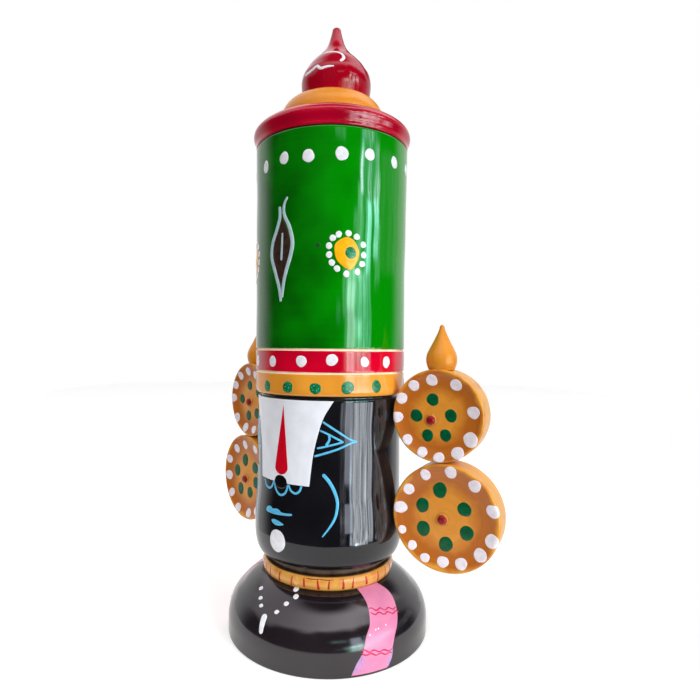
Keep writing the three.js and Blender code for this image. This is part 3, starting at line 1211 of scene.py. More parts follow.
@dataclass
class Head:
    """The black head with its painted face."""

    neck: float = 25.4
    low: float = 29.8
    foot: float = 32.6
    foot_radius: float = 27.8
    radius: float = 30.1
    straight: float = 60.0
    jaw_radius: float = 31.2
    jaw: float = 43.0
    wall_top: float = 97.0
    top: float = 98.0
    middle: float = -1.0

    def turning(self) -> Turning:
        """A neck, an oval jaw, a slightly narrower straight wall and a set-back top."""
        edge, step_in = 0.35, 1.1
        across, up = self.jaw_radius - self.foot_radius, self.jaw - self.foot
        return Turning(
            joined(
                joined([(0, self.low), (self.neck, self.low), (self.neck, self.foot)], longest=1.5),
                oval((self.foot_radius, self.jaw), across, up, -90, 0, 26),
                eased((self.jaw_radius, self.jaw), (self.radius, self.straight), 14),
                oval((self.radius - edge, self.wall_top - edge), edge, edge, 0, 90, 5),
                [(self.radius - step_in, self.wall_top)],
                joined([(self.radius - step_in, self.top), (0, self.top)], longest=3.0),
                longest=0.8,
            ),
            seed=8,
        )

    def mirrored(self, points: list[Point]) -> list[list[Point]]:
        """A mark and its twin on the other side of the face's middle line."""
        return [points, [(2 * self.middle - turn, height) for turn, height in points]]

    def forehead(self, brush: Brush, palette: Palette) -> list[Shell]:
        """The white forehead mark with a red stripe that widens downwards, and the nose."""
        right = [(22.7, 64.6), (25.1, 75.4), (28.5, 83.7), (32.7, 90.5), (39.8, 96.75)]
        left = [(-25.2, 64.9), (-26.4, 76.0), (-29.6, 83.7), (-34.4, 90.0), (-43.5, 96.75)]
        white = brush.sheet(left, right, palette.number(Finish.MILK))
        over = Brush(brush.chart, thickness=brush.thickness + 0.08, sink=0.0)
        low, tall, widest, tip, rounded, close = 67.9, 27.1, 6.2, 0.04, 0.1, 0.12
        t = np.concatenate((close * np.linspace(0, 1, 9) ** 2, np.linspace(close, 1, 12)[1:]))
        round_foot = np.sqrt(1 - (1 - np.clip(t / rounded, 0, 1)) ** 2)
        half = tip + widest * np.minimum(round_foot, (1 - t) / (1 - rounded))
        centre = -0.7 + 1.9 * t
        edges = [list(zip(centre + hand * half, low + tall * t)) for hand in (-1, 1)]
        red = over.sheet(*edges, palette.number(Finish.SCARLET))
        nose = over.dots([(-1.1, 65.1)], [(3.5, 2.75)], palette.number(Finish.BLACKEST), seed=31, rough=0.03)
        return [white, red, nose]

    def eyes(self, brush: Brush, paint: int) -> list[Shell]:
        """Each eye is an open pointed outline with a smaller one inside it."""
        lines = (
            ([(32.0, 89.0), (41.4, 85.8), (51.6, 82.4), (56.9, 81.4)], (0.72, 0.82, 0.78, 0.72)),
            ([(57.4, 81.5), (51.1, 80.6), (42.4, 78.7), (26.2, 76.0)], (0.72, 0.78, 0.82, 0.82)),
            ([(30.0, 85.8), (37.1, 84.1), (46.9, 81.4)], (0.65, 0.76, 0.72)),
            ([(47.2, 81.5), (38.4, 80.3), (28.0, 79.0)], (0.72, 0.76, 0.72)),
            ([(36.6, 84.1), (36.8, 82.2), (34.4, 80.1)], (0.9, 0.9, 1.1)),
        )
        return [
            brush.stroke(twin, widths, paint) for points, widths in lines for twin in self.mirrored(points)
        ]

    def cheeks(self, brush: Brush, paint: int) -> list[Shell]:
        """A curved line down each cheek that thins out below."""
        line = [(32.4, 69.5), (37.0, 66.7), (41.2, 62.6), (43.1, 58.4), (41.6, 53.6), (37.8, 50.0),
                (32.6, 46.4)]
        widths = (1.32, 1.27, 1.18, 1.05, 0.82, 0.42)
        return [brush.stroke(twin, widths, paint) for twin in self.mirrored(line)]

    def mouth(self, brush: Brush, palette: Palette) -> list[Shell]:
        """Nostril curves, two lips and a white oval on the chin."""
        sky = palette.number(Finish.SKY)
        curves = (
            [(-7.6, 65.0), (-6.4, 62.2), (-3.6, 60.4), (-0.2, 60.0), (3.6, 61.2), (6.0, 64.4)],
            [(-20.6, 64.3), (-18.4, 62.3), (-14.6, 61.4), (-10.6, 62.4), (-8.0, 64.9)],
            [(6.2, 64.5), (8.2, 62.4), (12.0, 61.5), (15.4, 62.6), (17.2, 65.4)],
        )
        shells = [brush.stroke(points, (0.75, 0.85, 0.85, 0.75), sky) for points in curves]
        upper = [(-6.6, 0.2), (-5.6, 1.2), (-3.9, 1.5), (-2.3, 0.85), (-0.7, 1.25), (1.0, 1.1), (2.6, 0.3),
                 (6.9, 0.5), (6.9, -0.25), (2.4, -0.75), (-1.2, -1.0), (-4.6, -1.05), (-6.3, -0.75)]
        lower = [(-3.1, 0.7), (-1.0, 1.05), (1.5, 0.6), (3.2, -0.1), (1.7, -0.75), (-0.8, -0.95),
                 (-2.7, -0.3)]
        shells.append(brush.blot((-4.0, 53.1), upper, sky))
        shells.append(brush.blot((-2.8, 49.2), lower, sky))
        shells.append(
            brush.dots([(-2.3, 42.3)], [(4.05, 4.4)], palette.number(Finish.WHITE), seed=34, rough=0.03)
        )
        return shells

    def build(self) -> bpy.types.Object:
        """The head as one piece."""
        palette = Palette()
        turning = self.turning()
        bands = [(self.foot - 0.1, palette.number(Finish.STAINED)), (999.0, palette.number(Finish.BLACK))]
        shells = [turning.shell(banded(turning.profile, bands))]
        brush = Brush(Wall(turning, self.foot + 0.6, self.wall_top - 0.02))
        sky = palette.number(Finish.SKY)
        shells += self.forehead(brush, palette)
        shells += self.eyes(brush, sky)
        shells += self.cheeks(brush, sky)
        shells += self.mouth(brush, palette)
        return object_of("painted_head", shells, palette.materials())


@dataclass
class Crown:
    """The tall crown: a green wall with painted ornament over a red and a yellow band."""

    radius: float = 31.35
    middle_radius: float = 31.5
    top_radius: float = 31.9
    low: float = 98.3
    top: float = 198.9
    grooves: tuple[Point, Point] = ((106.6, 107.4), (115.4, 116.3))
    groove_depth: float = 0.4

    def turning(self) -> Turning:
        """A slightly flaring wall with two square grooves down to the wood."""
        edge, lip, across, up = 0.6, 0.12, 0.9, 2.4
        wood = self.radius - self.groove_depth
        runs = [
            joined([(0, self.low), (self.radius - across, self.low)], longest=3.0),
            oval((self.radius - across, self.low + up), across, up, -90, 0, 14),
        ]
        for low, high in self.grooves:
            runs += [
                oval((self.radius - lip, low - lip), lip, lip, 0, 90, 3),
                [(wood, low + 0.04), (wood, high - 0.04)],
                oval((self.radius - lip, high + lip), lip, lip, -90, 0, 3),
            ]
        flare = [
            (self.radius, 120.0),
            (self.radius, 135.0),
            (self.middle_radius, 160.0),
            (self.top_radius - 0.1, 187.0),
            (self.top_radius, self.top - edge),
        ]
        runs += [
            drawn(flare, np.linspace(0, 1, 88)),
            oval((self.top_radius - edge, self.top - edge), edge, edge, 0, 90, 5),
            joined([(self.top_radius - edge, self.top), (0, self.top)], longest=4.0),
        ]
        return Turning(joined(*runs, longest=0.7), seed=12, unevenness=0.06)

    def rows(self, brush: Brush, palette: Palette) -> list[Shell]:
        """Three rows of dots round the crown; the seen ones stand where the brush put them
        and the others follow evenly. A row has the seen dots' places, their half widths and
        half heights, and how many there are in all, the step to the next one and the finish."""
        draw = np.random.default_rng(41)
        furthest = 311.0
        rows = (
            (
                ((-17.7, 187.4), (1.9, 188.3), (20.7, 187.7), (43.3, 188.3), (63.2, 189.1), (86.4, 189.0),
                 (109.3, 189.8)),
                ((1.85, 2.4), (2.1, 2.4), (2.35, 2.45), (2.4, 2.65), (2.05, 2.35), (1.95, 2.4), (2.0, 2.4)),
                (17, 360 / 17, Finish.WHITE),
            ),
            (
                ((-33.1, 111.2), (-8.4, 111.2), (16.7, 111.5), (38.0, 112.1), (61.4, 111.4), (80.8, 111.3)),
                ((2.0, 2.1), (2.0, 2.1), (2.1, 2.2), (2.2, 2.2), (1.85, 1.9), (1.95, 2.35)),
                (15, 40.5, Finish.WHITE),
            ),
            (
                ((-14.8, 101.4), (6.1, 101.6), (26.9, 101.4), (49.0, 101.8), (71.4, 102.1)),
                ((2.2, 2.2), (2.4, 2.2), (2.2, 2.2), (2.4, 2.45), (2.25, 2.4)),
                (15, 49.6, Finish.LEAF_WORN),
            ),
        )
        shells = []
        for seen, seen_sizes, (count, step, finish) in rows:
            more = count - len(seen)
            last = min(furthest, seen[0][0] + 360 - 360 / count)
            turns = np.linspace(seen[-1][0] + step, last, more) + draw.uniform(-1.2, 1.2, more)
            heights = np.mean([height for _, height in seen]) + draw.uniform(-0.45, 0.45, more)
            sizes = np.mean(seen_sizes, 0) * draw.uniform(0.9, 1.1, (more, 1))
            sizes = np.vstack((seen_sizes, sizes * draw.uniform(0.95, 1.05, (more, 2))))
            places = np.vstack((seen, np.column_stack((turns, heights))))
            shells.append(brush.dots(places, sizes, palette.number(finish), seed=count, rough=0.06))
        return shells

    def flame(self, brush: Brush, palette: Palette) -> list[Shell]:
        """The front ornament: a brown leaf outlined in grey-blue, with a light vein."""
        left = [(-2.1, 170.4), (-2.0, 166.0), (-4.9, 161.4), (-9.1, 156.4), (-9.9, 151.2), (-6.2, 145.6),
                (-2.2, 139.4), (-0.4, 134.0)]
        right = [(4.9, 173.5), (2.0, 170.7), (2.1, 167.0), (6.7, 161.9), (9.2, 156.2), (7.9, 151.6),
                 (5.0, 146.9), (2.4, 142.2), (0.4, 135.4)]
        fill = brush.sheet(
            [(0.2, 165.6), (-3.0, 161.2), (-7.2, 156.6), (-8.0, 151.6), (-4.8, 146.0), (-0.6, 140.8)],
            [(0.9, 165.6), (4.8, 161.2), (7.4, 156.6), (6.6, 151.6), (3.8, 146.0), (0.6, 140.8)],
            palette.number(Finish.UMBER),
        )
        over = Brush(brush.chart, thickness=brush.thickness + 0.08, sink=0.0)
        mist = palette.number(Finish.MIST)
        return [
            fill,
            over.stroke(left, (1.3, 1.5, 1.6, 1.6, 1.5, 1.2), mist),
            over.stroke(right, (0.9, 1.4, 1.6, 1.6, 1.5, 1.2), mist),
            over.stroke([(0.9, 160.2), (0.5, 155.0), (0.0, 149.6)], (0.9, 1.15, 1.2), mist),
        ]

    def flower(self, brush: Brush, palette: Palette, middle: float, hand: int) -> list[Shell]:
        """An amber egg with a green eye, ringed by thirteen white dots.

        Args:
            brush: the brush on the crown's wall.
            palette: the piece's finishes.
            middle: turn of the flower's centre in degrees.
            hand: 1 as it stands on the figure's left, -1 for its mirror image.

        Returns:
            The shells.
        """
        ring = [(-5.7, 158.6), (1.0, 159.1), (6.9, 158.0), (11.8, 155.2), (12.2, 151.4), (11.1, 148.0),
                (7.6, 145.0), (-0.3, 144.0), (-6.6, 145.9), (-10.2, 148.1), (-12.1, 151.0), (-12.2, 154.3),
                (-9.7, 157.2)]
        dots = [(middle + hand * turn, height) for turn, height in ring]
        egg = [(-4.6, 1.4), (-3.6, 3.6), (-0.4, 5.4), (2.4, 4.7), (4.2, 2.3), (5.0, 0.0), (4.3, -3.2),
               (1.7, -6.6), (-1.6, -5.2), (-3.9, -2.6)]
        outline = [(hand * across, up) for across, up in egg]
        over = Brush(brush.chart, thickness=brush.thickness + 0.09, sink=0.0)
        white, amber, leaf = (palette.number(f) for f in (Finish.WHITE, Finish.AMBER, Finish.LEAF_WORN))
        return [
            brush.dots(dots, [(1.2, 1.25)], white, seed=51, rough=0.07),
            brush.blot((middle - 0.2 * hand, 152.2), outline, amber),
            over.dots([(middle + 2.6 * hand, 151.9)], [(2.3, 2.35)], leaf, seed=52),
        ]

    def build(self) -> bpy.types.Object:
        """The crown as one piece."""
        palette = Palette()
        turning = self.turning()
        green, red, yellow, wood = (
            palette.number(f) for f in (Finish.GREEN, Finish.SCARLET_BAND, Finish.YELLOW, Finish.WOOD)
        )
        (low, low_top), (high, high_top) = self.grooves
        bands = [(self.low + 0.01, wood), (low - 0.02, yellow), (low_top + 0.02, wood), (high - 0.02, red),
                 (high_top + 0.02, wood), (999.0, green)]
        shells = [turning.shell(banded(turning.profile, bands))]
        brush = Brush(Wall(turning, self.low + 0.5, self.top - 0.3))
        shells += self.rows(brush, palette)
        shells += self.flame(brush, palette)
        shells += self.flower(brush, palette, 47.5, 1)
        shells += self.flower(brush, palette, -43.0, -1)
        scuff = palette.number(Finish.SCUFF)
        shells.append(brush.dots([(27.9, 154.6)], [(0.85, 1.0)], scuff, seed=53, rough=0.2))
        return object_of("painted_crown", shells, palette.materials())


@dataclass
class Cap:
    """The cap, one turning: a rounded red moulding and a low yellow dome."""

    low: float = 199.2
    roll: tuple[Point, ...] = (
        (31.7, 199.2), (31.95, 199.6), (32.0, 200.5), (32.2, 201.4), (32.6, 202.3), (33.0, 203.3),
        (33.1, 204.3), (32.82, 205.3), (32.05, 206.3), (30.88, 207.2), (29.6, 208.0), (28.2, 208.7),
        (26.6, 209.35), (24.6, 210.2), (22.1, 211.0),
    )
    dome_radius: float = 21.75
    dome_across: float = 7.6
    dome_middle: float = 212.5
    top: float = 220.5

    def build(self) -> bpy.types.Object:
        """The cap as one piece."""
        palette = Palette()
        red, yellow = palette.number(Finish.RED), palette.number(Finish.YELLOW_SOFT)
        dome_centre = self.dome_radius - self.dome_across
        crease = self.roll[-1][1]
        profile = joined(
            joined([(0, self.low), (self.roll[0][0] - 0.3, self.low)], longest=2.0),
            drawn(self.roll, np.linspace(0, 1, 64)),
            oval((dome_centre, self.dome_middle), self.dome_across, self.top - self.dome_middle, -9, 90, 26),
            joined([(dome_centre, self.top), (0, self.top)], longest=3.0),
            longest=0.7,
        )
        turning = Turning(profile, seed=15)
        shells = [turning.shell(banded(profile, [(crease + 0.05, red), (999.0, yellow)]))]
        return object_of("moulded_cap", shells, palette.materials())


@dataclass
class Finial:
    """The red onion, glued on slightly off the axis, with two white brush strokes."""

    low: float = 220.8
    top: float = 253.2
    shift: Place = (1.2, 0.9, 0.0)

    def build(self) -> bpy.types.Object:
        """The onion as one piece: a round belly drawn up through an ogee to a blunt stem."""
        palette = Palette()
        red, white = palette.number(Finish.CHERRY), palette.number(Finish.WHITE)
        height = self.top - self.low
        shape = [(13.7, 0.0), (14.55, 0.134), (14.75, 0.236), (14.2, 0.327), (13.1, 0.388), (11.65, 0.459),
                 (9.7, 0.53), (7.0, 0.612), (4.75, 0.698), (3.55, 0.769), (2.85, 0.835), (2.3, 0.896),
                 (1.8, 0.965)]
        outline = drawn([(r, self.low + share * height) for r, share in shape], np.linspace(0, 1, 90))
        end = outline[-1]
        profile = joined(
            joined([(0, self.low), (13.7, self.low)], longest=3.0),
            outline,
            oval((0.0, end[1]), end[0], self.top - end[1], 4, 90, 9),
            longest=0.8,
        )
        profile[-1, 0] = 0.0
        turning = Turning(profile, Axes(centre=self.shift), around=192, seed=17, unevenness=0.07)
        brush = Brush(Wall(turning, 221.3, 245.0, narrowest=0.0), step=0.35)
        strokes = (
            ([(2.0, 237.4), (14.0, 237.7), (25.0, 237.6), (38.0, 237.3), (47.6, 235.9), (49.4, 233.8),
              (42.5, 231.6)],
             (0.5, 0.9, 1.0, 1.0, 1.1, 1.3, 1.2)),
            ([(-24.0, 229.2), (-14.0, 229.4), (-5.9, 229.8), (2.9, 230.7), (11.0, 229.2), (21.5, 229.5),
              (32.5, 229.5)],
             (1.2, 1.3, 1.3, 1.3, 1.2, 1.0, 0.6)),
        )
        shells = [turning.shell(red)]
        shells += [brush.stroke(points, widths, white) for points, widths in strokes]
        return object_of("onion_finial", shells, palette.materials())


@dataclass
class DiscPaint:
    """The dots of one disc. A white dot is (turn in degrees from the outward direction, reach
    in mm, radius in mm), a green one (turn, reach), and the peg is (across, up) in mm."""

    white: list[Place]
    green: list[Point]
    peg: Point


@dataclass
class Ear:
    """One ear ornament: two dished discs, one above the other, and a drop on top."""

    side: Side
    face: Place
    turn: float
    out: float
    upper: DiscPaint
    lower: DiscPaint
    thickness: float = 11.5
    upper_radius: float = 17.7
    lower_radius: float = 20.5
    gap: float = 0.3
    drop_height: float = 17.4

    def directions(self) -> tuple[Array, Array]:
        """The way across the discs, towards +X, and the way their faces look."""
        turn = math.radians(self.turn)
        return np.array((math.cos(turn), math.sin(turn), 0)), np.array((math.sin(turn), -math.cos(turn), 0))

    def centres(self) -> tuple[Array, Array]:
        """The centres of the two faces; the lower disc just touches the upper one."""
        across, _ = self.directions()
        apart = self.upper_radius + self.lower_radius + self.gap
        down = math.sqrt(apart**2 - self.out**2)
        upper = np.array(self.face)
        return upper, upper + across * self.side.value * self.out - np.array((0, 0, down))

    @staticmethod
    def placed(turns: Array, reaches: Array) -> Array:
        """Places across and up of dots by their turns in degrees and reaches in mm."""
        angle = np.radians(turns.astype(float))
        return np.column_stack((reaches * np.cos(angle), reaches * np.sin(angle)))

    def disc(self, name: str, centre: Array, radius: float, paint: DiscPaint, seed: int) -> bpy.types.Object:
        """A disc with a rounded edge and a dished face, and an off-centre peg with a red tip.

        Args:
            name: name of the piece.
            centre: the middle of its face in mm.
            radius: its radius in mm.
            paint: its dots.
            seed: start of the random draws.

        Returns:
            The piece.
        """
        across, looking = self.directions()
        palette = Palette()
        lacquer = palette.number(Finish.DISC)
        edge, dish, back = 0.8, 1.5, -self.thickness
        face = [(radius - edge, 0.0), (radius - 1.6, -0.15), (0.84 * radius, -0.62), (0.72 * radius, -1.12),
                (0.58 * radius, -1.4), (0.42 * radius, -dish), (0.25 * radius, -dish), (0.0, -dish)]
        rim = joined(
            joined([(0, back), (radius - edge, back)], longest=2.5),
            oval((radius - edge, back + edge), edge, edge, -90, 0, 6),
            oval((radius - edge, -edge), edge, edge, 0, 84, 6),
            longest=0.8,
        )
        profile = joined(rim, drawn(face, np.linspace(0, 1, 48)), longest=0.8)
        profile[-1, 0] = 0.0
        axes = Axes(tuple(centre), tuple(across), (0.0, 0.0, 1.0), tuple(looking))
        turning = Turning(profile, axes, around=192, seed=seed)
        brush = Brush(Face(turning, len(rim) - 1), thickness=0.16)
        draw = np.random.default_rng(seed + 100)
        shells = [turning.shell(lacquer)]
        turns, reaches, white_sizes = np.array(paint.white).T
        middles = self.placed(turns, reaches)
        sizes = white_sizes[:, None] * draw.uniform(0.94, 1.06, (len(middles), 2))
        shells.append(brush.dots(middles, sizes, palette.number(Finish.CHALK), seed=seed, rough=0.06))
        green = self.placed(*np.array(paint.green).T)
        sizes = radius * draw.uniform(0.127, 0.142, (len(green), 1)) * np.array((0.97, 1.04))
        shells.append(brush.dots(green, sizes, palette.number(Finish.LEAF), seed=seed + 1))
        # Painted shadow: a low brown blot round the peg, where the peg shades the dish.
        shade_brush, peg_shade_paint = Brush(brush.chart, thickness=0.03, sink=0.03), palette.number(Finish.PEG_SHADE)
        shells.append(shade_brush.dots([paint.peg], [(2.9, 2.7)], peg_shade_paint, seed=seed + 2, rough=0.15))
        shells.append(self.peg(centre, paint.peg, dish, palette, seed))
        return object_of(name, shells, palette.materials())

    def peg(self, centre: Array, place: Point, dish: float, palette: Palette, seed: int) -> Shell:
        """The peg that stands out of the dish, round topped, with a painted tip.

        Args:
            centre: the middle of the disc's face in mm.
            place: where the peg stands, across and up from that middle in mm.
            dish: depth of the dish in mm.
            palette: the disc's finishes.
            seed: start of the random draws.

        Returns:
            Its shell.
        """
        across, looking = self.directions()
        foot = centre + across * place[0] + np.array((0, 0, place[1]))
        height = dish - 0.1
        flare = [(2.5, -dish - 0.02), (1.95, -dish + 0.25), (1.72, -dish + 0.7), (1.64, -dish + 1.0)]
        profile = joined(
            [(0, -dish - 0.6), (2.5, -dish - 0.6), (2.5, -dish - 0.05)],
            drawn(flare, np.linspace(0, 1, 8)),
            oval((0.8, -dish + 1.0), 0.84, height - 1.0 + 0.4, 0, 90, 6),
            [(0, -dish + height + 0.41)],
            longest=0.4,
        )
        axes = Axes(tuple(foot), tuple(across), (0.0, 0.0, 1.0), tuple(looking))
        turning = Turning(profile, axes, around=40, seed=seed, unevenness=0.15)
        red = palette.number(Finish.CRIMSON)
        # The peg's foot takes the colour of the painted shadow round it.
        return turning.shell(banded(profile, [(-dish + 0.5, palette.number(Finish.PEG_SHADE)), (9.0, red)]))

    def drop(self, name: str) -> bpy.types.Object:
        """The drop: a round foot that swells and draws in to a point."""
        _, looking = self.directions()
        foot = np.array(self.face) - looking * self.thickness / 2
        foot = foot + np.array((0, 0, self.upper_radius - self.gap))
        tall = self.drop_height
        shape = [(5.0, 0.0), (5.45, 0.06), (5.85, 0.15), (5.95, 0.245), (5.6, 0.35), (4.75, 0.458),
                 (3.9, 0.55), (3.1, 0.64), (2.35, 0.73), (1.6, 0.82), (1.0, 0.91)]
        outline = drawn([(r, share * tall) for r, share in shape], np.linspace(0, 1, 44))
        end = outline[-1]
        profile = joined(
            joined([(0, 0), (4.6, 0)], longest=2.0),
            outline,
            oval((0.0, end[1]), end[0], tall - end[1], 20, 90, 6),
            longest=0.6,
        )
        profile[-1, 0] = 0.0
        palette = Palette()
        turning = Turning(profile, Axes(centre=tuple(foot)), around=96, seed=19, unevenness=0.12)
        return object_of(name, [turning.shell(palette.number(Finish.YELLOW_SOFT))], palette.materials())

    def build(self) -> list[tuple[bpy.types.Object, str, str]]:
        """The three pieces, each with the solid that it stands for and its slot."""
        side = self.side.name.lower()
        upper, lower = self.centres()
        return [
            (
                self.disc(f"{side}_upper_dished_disc", upper, self.upper_radius, self.upper, 23),
                f"{side}_ear_upper_disc",
                "disc_lacquer",
            ),
            (
                self.disc(f"{side}_lower_dished_disc", lower, self.lower_radius, self.lower, 27),
                f"{side}_ear_lower_disc",
                "disc_lacquer",
            ),
            (self.drop(f"{side}_drop_turning"), f"{side}_ear_drop", "ring_lacquer"),
        ]


EARS = (
    Ear(
        Side.LEFT,
        face=(48.9, 2.2, 91.2),
        turn=8.4,
        out=3.25,
        upper=DiscPaint(
            [(100, 13.7, 2.27), (130, 14.6, 2.17), (157, 15.5, 2.2), (185, 16.1, 2.2), (220, 15.3, 1.88),
             (248, 15.3, 2.02), (273, 15.6, 2.02), (301, 15.5, 2.38), (328, 14.9, 2.77), (9, 13.7, 2.31),
             (60, 13.9, 2.33)],
            [(109, 6.4), (183, 8.5), (243, 8.7), (293, 7.8), (4, 5.0)],
            (-2.6, -1.8),
        ),
        lower=DiscPaint(
            [(116, 17.4, 2.18), (83, 17.8, 2.27), (51, 17.6, 2.38), (17, 18.7, 2.41), (343, 18.3, 2.71),
             (320, 17.4, 2.45), (292, 17.0, 2.18), (268, 16.4, 2.12), (245, 17.7, 1.74), (224, 17.5, 1.73),
             (202, 18.0, 1.6), (174, 17.7, 2.5), (147, 17.0, 2.08)],
            [(102, 10.5), (158, 9.6), (212, 10.0), (272, 9.8), (332, 9.2), (31, 8.4)],
            (-1.0, -0.7),
        ),
    ),
    Ear(
        Side.RIGHT,
        face=(-49.4, 0.9, 91.1),
        turn=-14.5,
        out=3.6,
        upper=DiscPaint(
            [(100, 13.8, 2.1), (130, 14.6, 2.1), (156, 15.5, 2.1), (181, 16.0, 2.2), (219, 16.0, 2.2),
             (253, 14.6, 2.2), (284, 14.6, 2.0), (315, 15.0, 2.1), (343, 15.0, 2.2), (12, 14.8, 2.0),
             (41, 14.4, 2.1), (71, 12.7, 2.1)],
            [(106, 7.0), (182, 9.0), (251, 8.4), (309, 8.1), (31, 7.4)],
            (-1.4, -1.3),
        ),
        lower=DiscPaint(
            [(95, 15.6, 2.2), (127, 15.7, 2.2), (159, 17.4, 2.2), (187, 16.8, 2.3), (217, 17.2, 2.2),
             (247, 18.1, 2.3), (280, 17.3, 2.2), (305, 17.6, 2.0), (330, 17.6, 2.3), (355, 17.5, 2.1),
             (26, 17.4, 2.3), (59, 17.3, 2.2)],
            [(105, 8.2), (171, 9.8), (228, 9.4), (291, 7.7), (351, 8.5), (37, 9.3)],
            (-1.0, -1.2),
        ),
    ),
)


class Tint(Enum):
    """Colours of the strips of light."""

    WHITE = (0.7, 0.85, 1.0)
    SEA = (0.45, 1.0, 0.97)
    PALE = (0.52, 1.0, 0.82)
    HAZE = (0.85, 0.92, 1.0)


@dataclass(frozen=True)
class Strip:
    """A strip of light that shows in the gloss: its turns and rises in degrees, its colour and
    strength, and how far it is broken up."""

    turn: Point
    rise: Point
    tint: Tint
    power: float
    broken: float = 0.0


STRIPS = (
    Strip((78, 107), (11.5, 26), Tint.SEA, 1.4),
    Strip((79.5, 84.5), (14.8, 19), Tint.WHITE, 20.0),
    Strip((80, 85), (19, 26), Tint.SEA, 6.0, 1.0),
    Strip((88.5, 97.5), (17.5, 20.6), Tint.WHITE, 2.5, 0.9),
    Strip((102.5, 111), (15.8, 20.6), Tint.WHITE, 5.0, 0.5),
    Strip((84, 101), (20.6, 26), Tint.WHITE, 8.0, 0.7),
    Strip((91, 98), (13, 17.5), Tint.WHITE, 9.5, 1.0),
    Strip((102.5, 112), (12.5, 16.5), Tint.WHITE, 12.0, 0.6),
    Strip((75, 81.5), (11.5, 16), Tint.PALE, 7.0, 0.3),
    Strip((88.5, 97.5), (8.5, 13.8), Tint.SEA, 15.0),
    Strip((102.5, 111), (10.5, 15), Tint.SEA, 19.0, 0.2),
    Strip((105.5, 114), (7, 11.5), Tint.PALE, 2.6, 0.3),
    Strip((69, 85), (7.0, 11.3), Tint.PALE, 5.0, 0.3),
    Strip((86, 99), (-4, 8.5), Tint.SEA, 6.5, 0.4),
    Strip((60.5, 71.5), (-4.5, 4.5), Tint.PALE, 4.5),
    Strip((60.5, 71.5), (4.5, 9), Tint.PALE, 11.0),
    Strip((57.5, 61), (-4.5, 3), Tint.PALE, 2.0),
    Strip((54.5, 61), (3, 8.5), Tint.PALE, 3.0),
    Strip((71.5, 88), (-4.5, 8.5), Tint.SEA, 4.2, 0.3),
    Strip((71.5, 85), (0, 3.2), Tint.PALE, 8.0, 0.3),
    Strip((71.5, 93), (5, 8.5), Tint.PALE, 4.0, 0.3),
    Strip((45, 52), (2.5, 4.8), Tint.SEA, 0.9),
    Strip((114, 150), (8.5, 19.3), Tint.HAZE, 0.5),
    Strip((41, 58), (20.5, 26), Tint.PALE, 1.8),
    Strip((69.5, 73), (-20, -7.5), Tint.WHITE, 11.0, 0.3),
    Strip((74, 84), (-20.5, -5), Tint.HAZE, 9.5),
    Strip((78, 84), (-20.8, -18.4), Tint.WHITE, 20.0),
    Strip((85, 98), (-21, -5), Tint.HAZE, 11.5, 0.2),
    Strip((99, 107), (-19, -5), Tint.HAZE, 7.0),
    Strip((112.5, 122), (-17.5, -5), Tint.HAZE, 8.0, 0.3),
    Strip((122, 128), (-20, -5), Tint.HAZE, 2.2, 0.3),
    Strip((54, 63), (-20, -5), Tint.HAZE, 1.2, 0.7),
    Strip((54.5, 70), (-7.5, -5), Tint.HAZE, 2.0),
)


MIDDLE = 0.12  # height in metres that the lamps look at
ABOVE = (400, 401)  # degrees past every rise, so that a range has no upper end
BELOW = (-400, -399)  # degrees under every rise


@dataclass
class Sky(Graph):
    """The graph of the surroundings. It reads the direction that light comes from."""

    def __post_init__(self) -> None:
        """Works out the turn and the rise of the direction in radians."""
        self.way = node(self.tree, "ShaderNodeTexCoord").outputs["Generated"]
        x, y, z = node(self.tree, "ShaderNodeSeparateXYZ", None, {0: self.way}).outputs
        self.turn = self.maths("ARCTAN2", x, self.maths("MULTIPLY", y, -1.0))
        self.rise = self.maths("ARCSINE", z)
        self.glossy = node(self.tree, "ShaderNodeLightPath").outputs["Is Glossy Ray"]

    def between(self, value: Socket, edges: tuple[float, float, float, float]) -> Socket:
        """1 inside a range of degrees, easing to 0 across both of its edges."""
        a, b, c, d = (math.radians(v) for v in edges)
        rising = self.ranged(value, a, b, ease="SMOOTHSTEP")
        return self.product(rising, self.ranged(value, c, d, 1.0, 0.0, "SMOOTHSTEP"))

    def streaked(self, scale: Place, low: float, high: float) -> Socket:
        """Noise stretched by direction, pulled apart between two levels."""
        return self.ranged(self.noise(self.stretched(self.way, scale), 1.0, roughness=0.6), low, high)


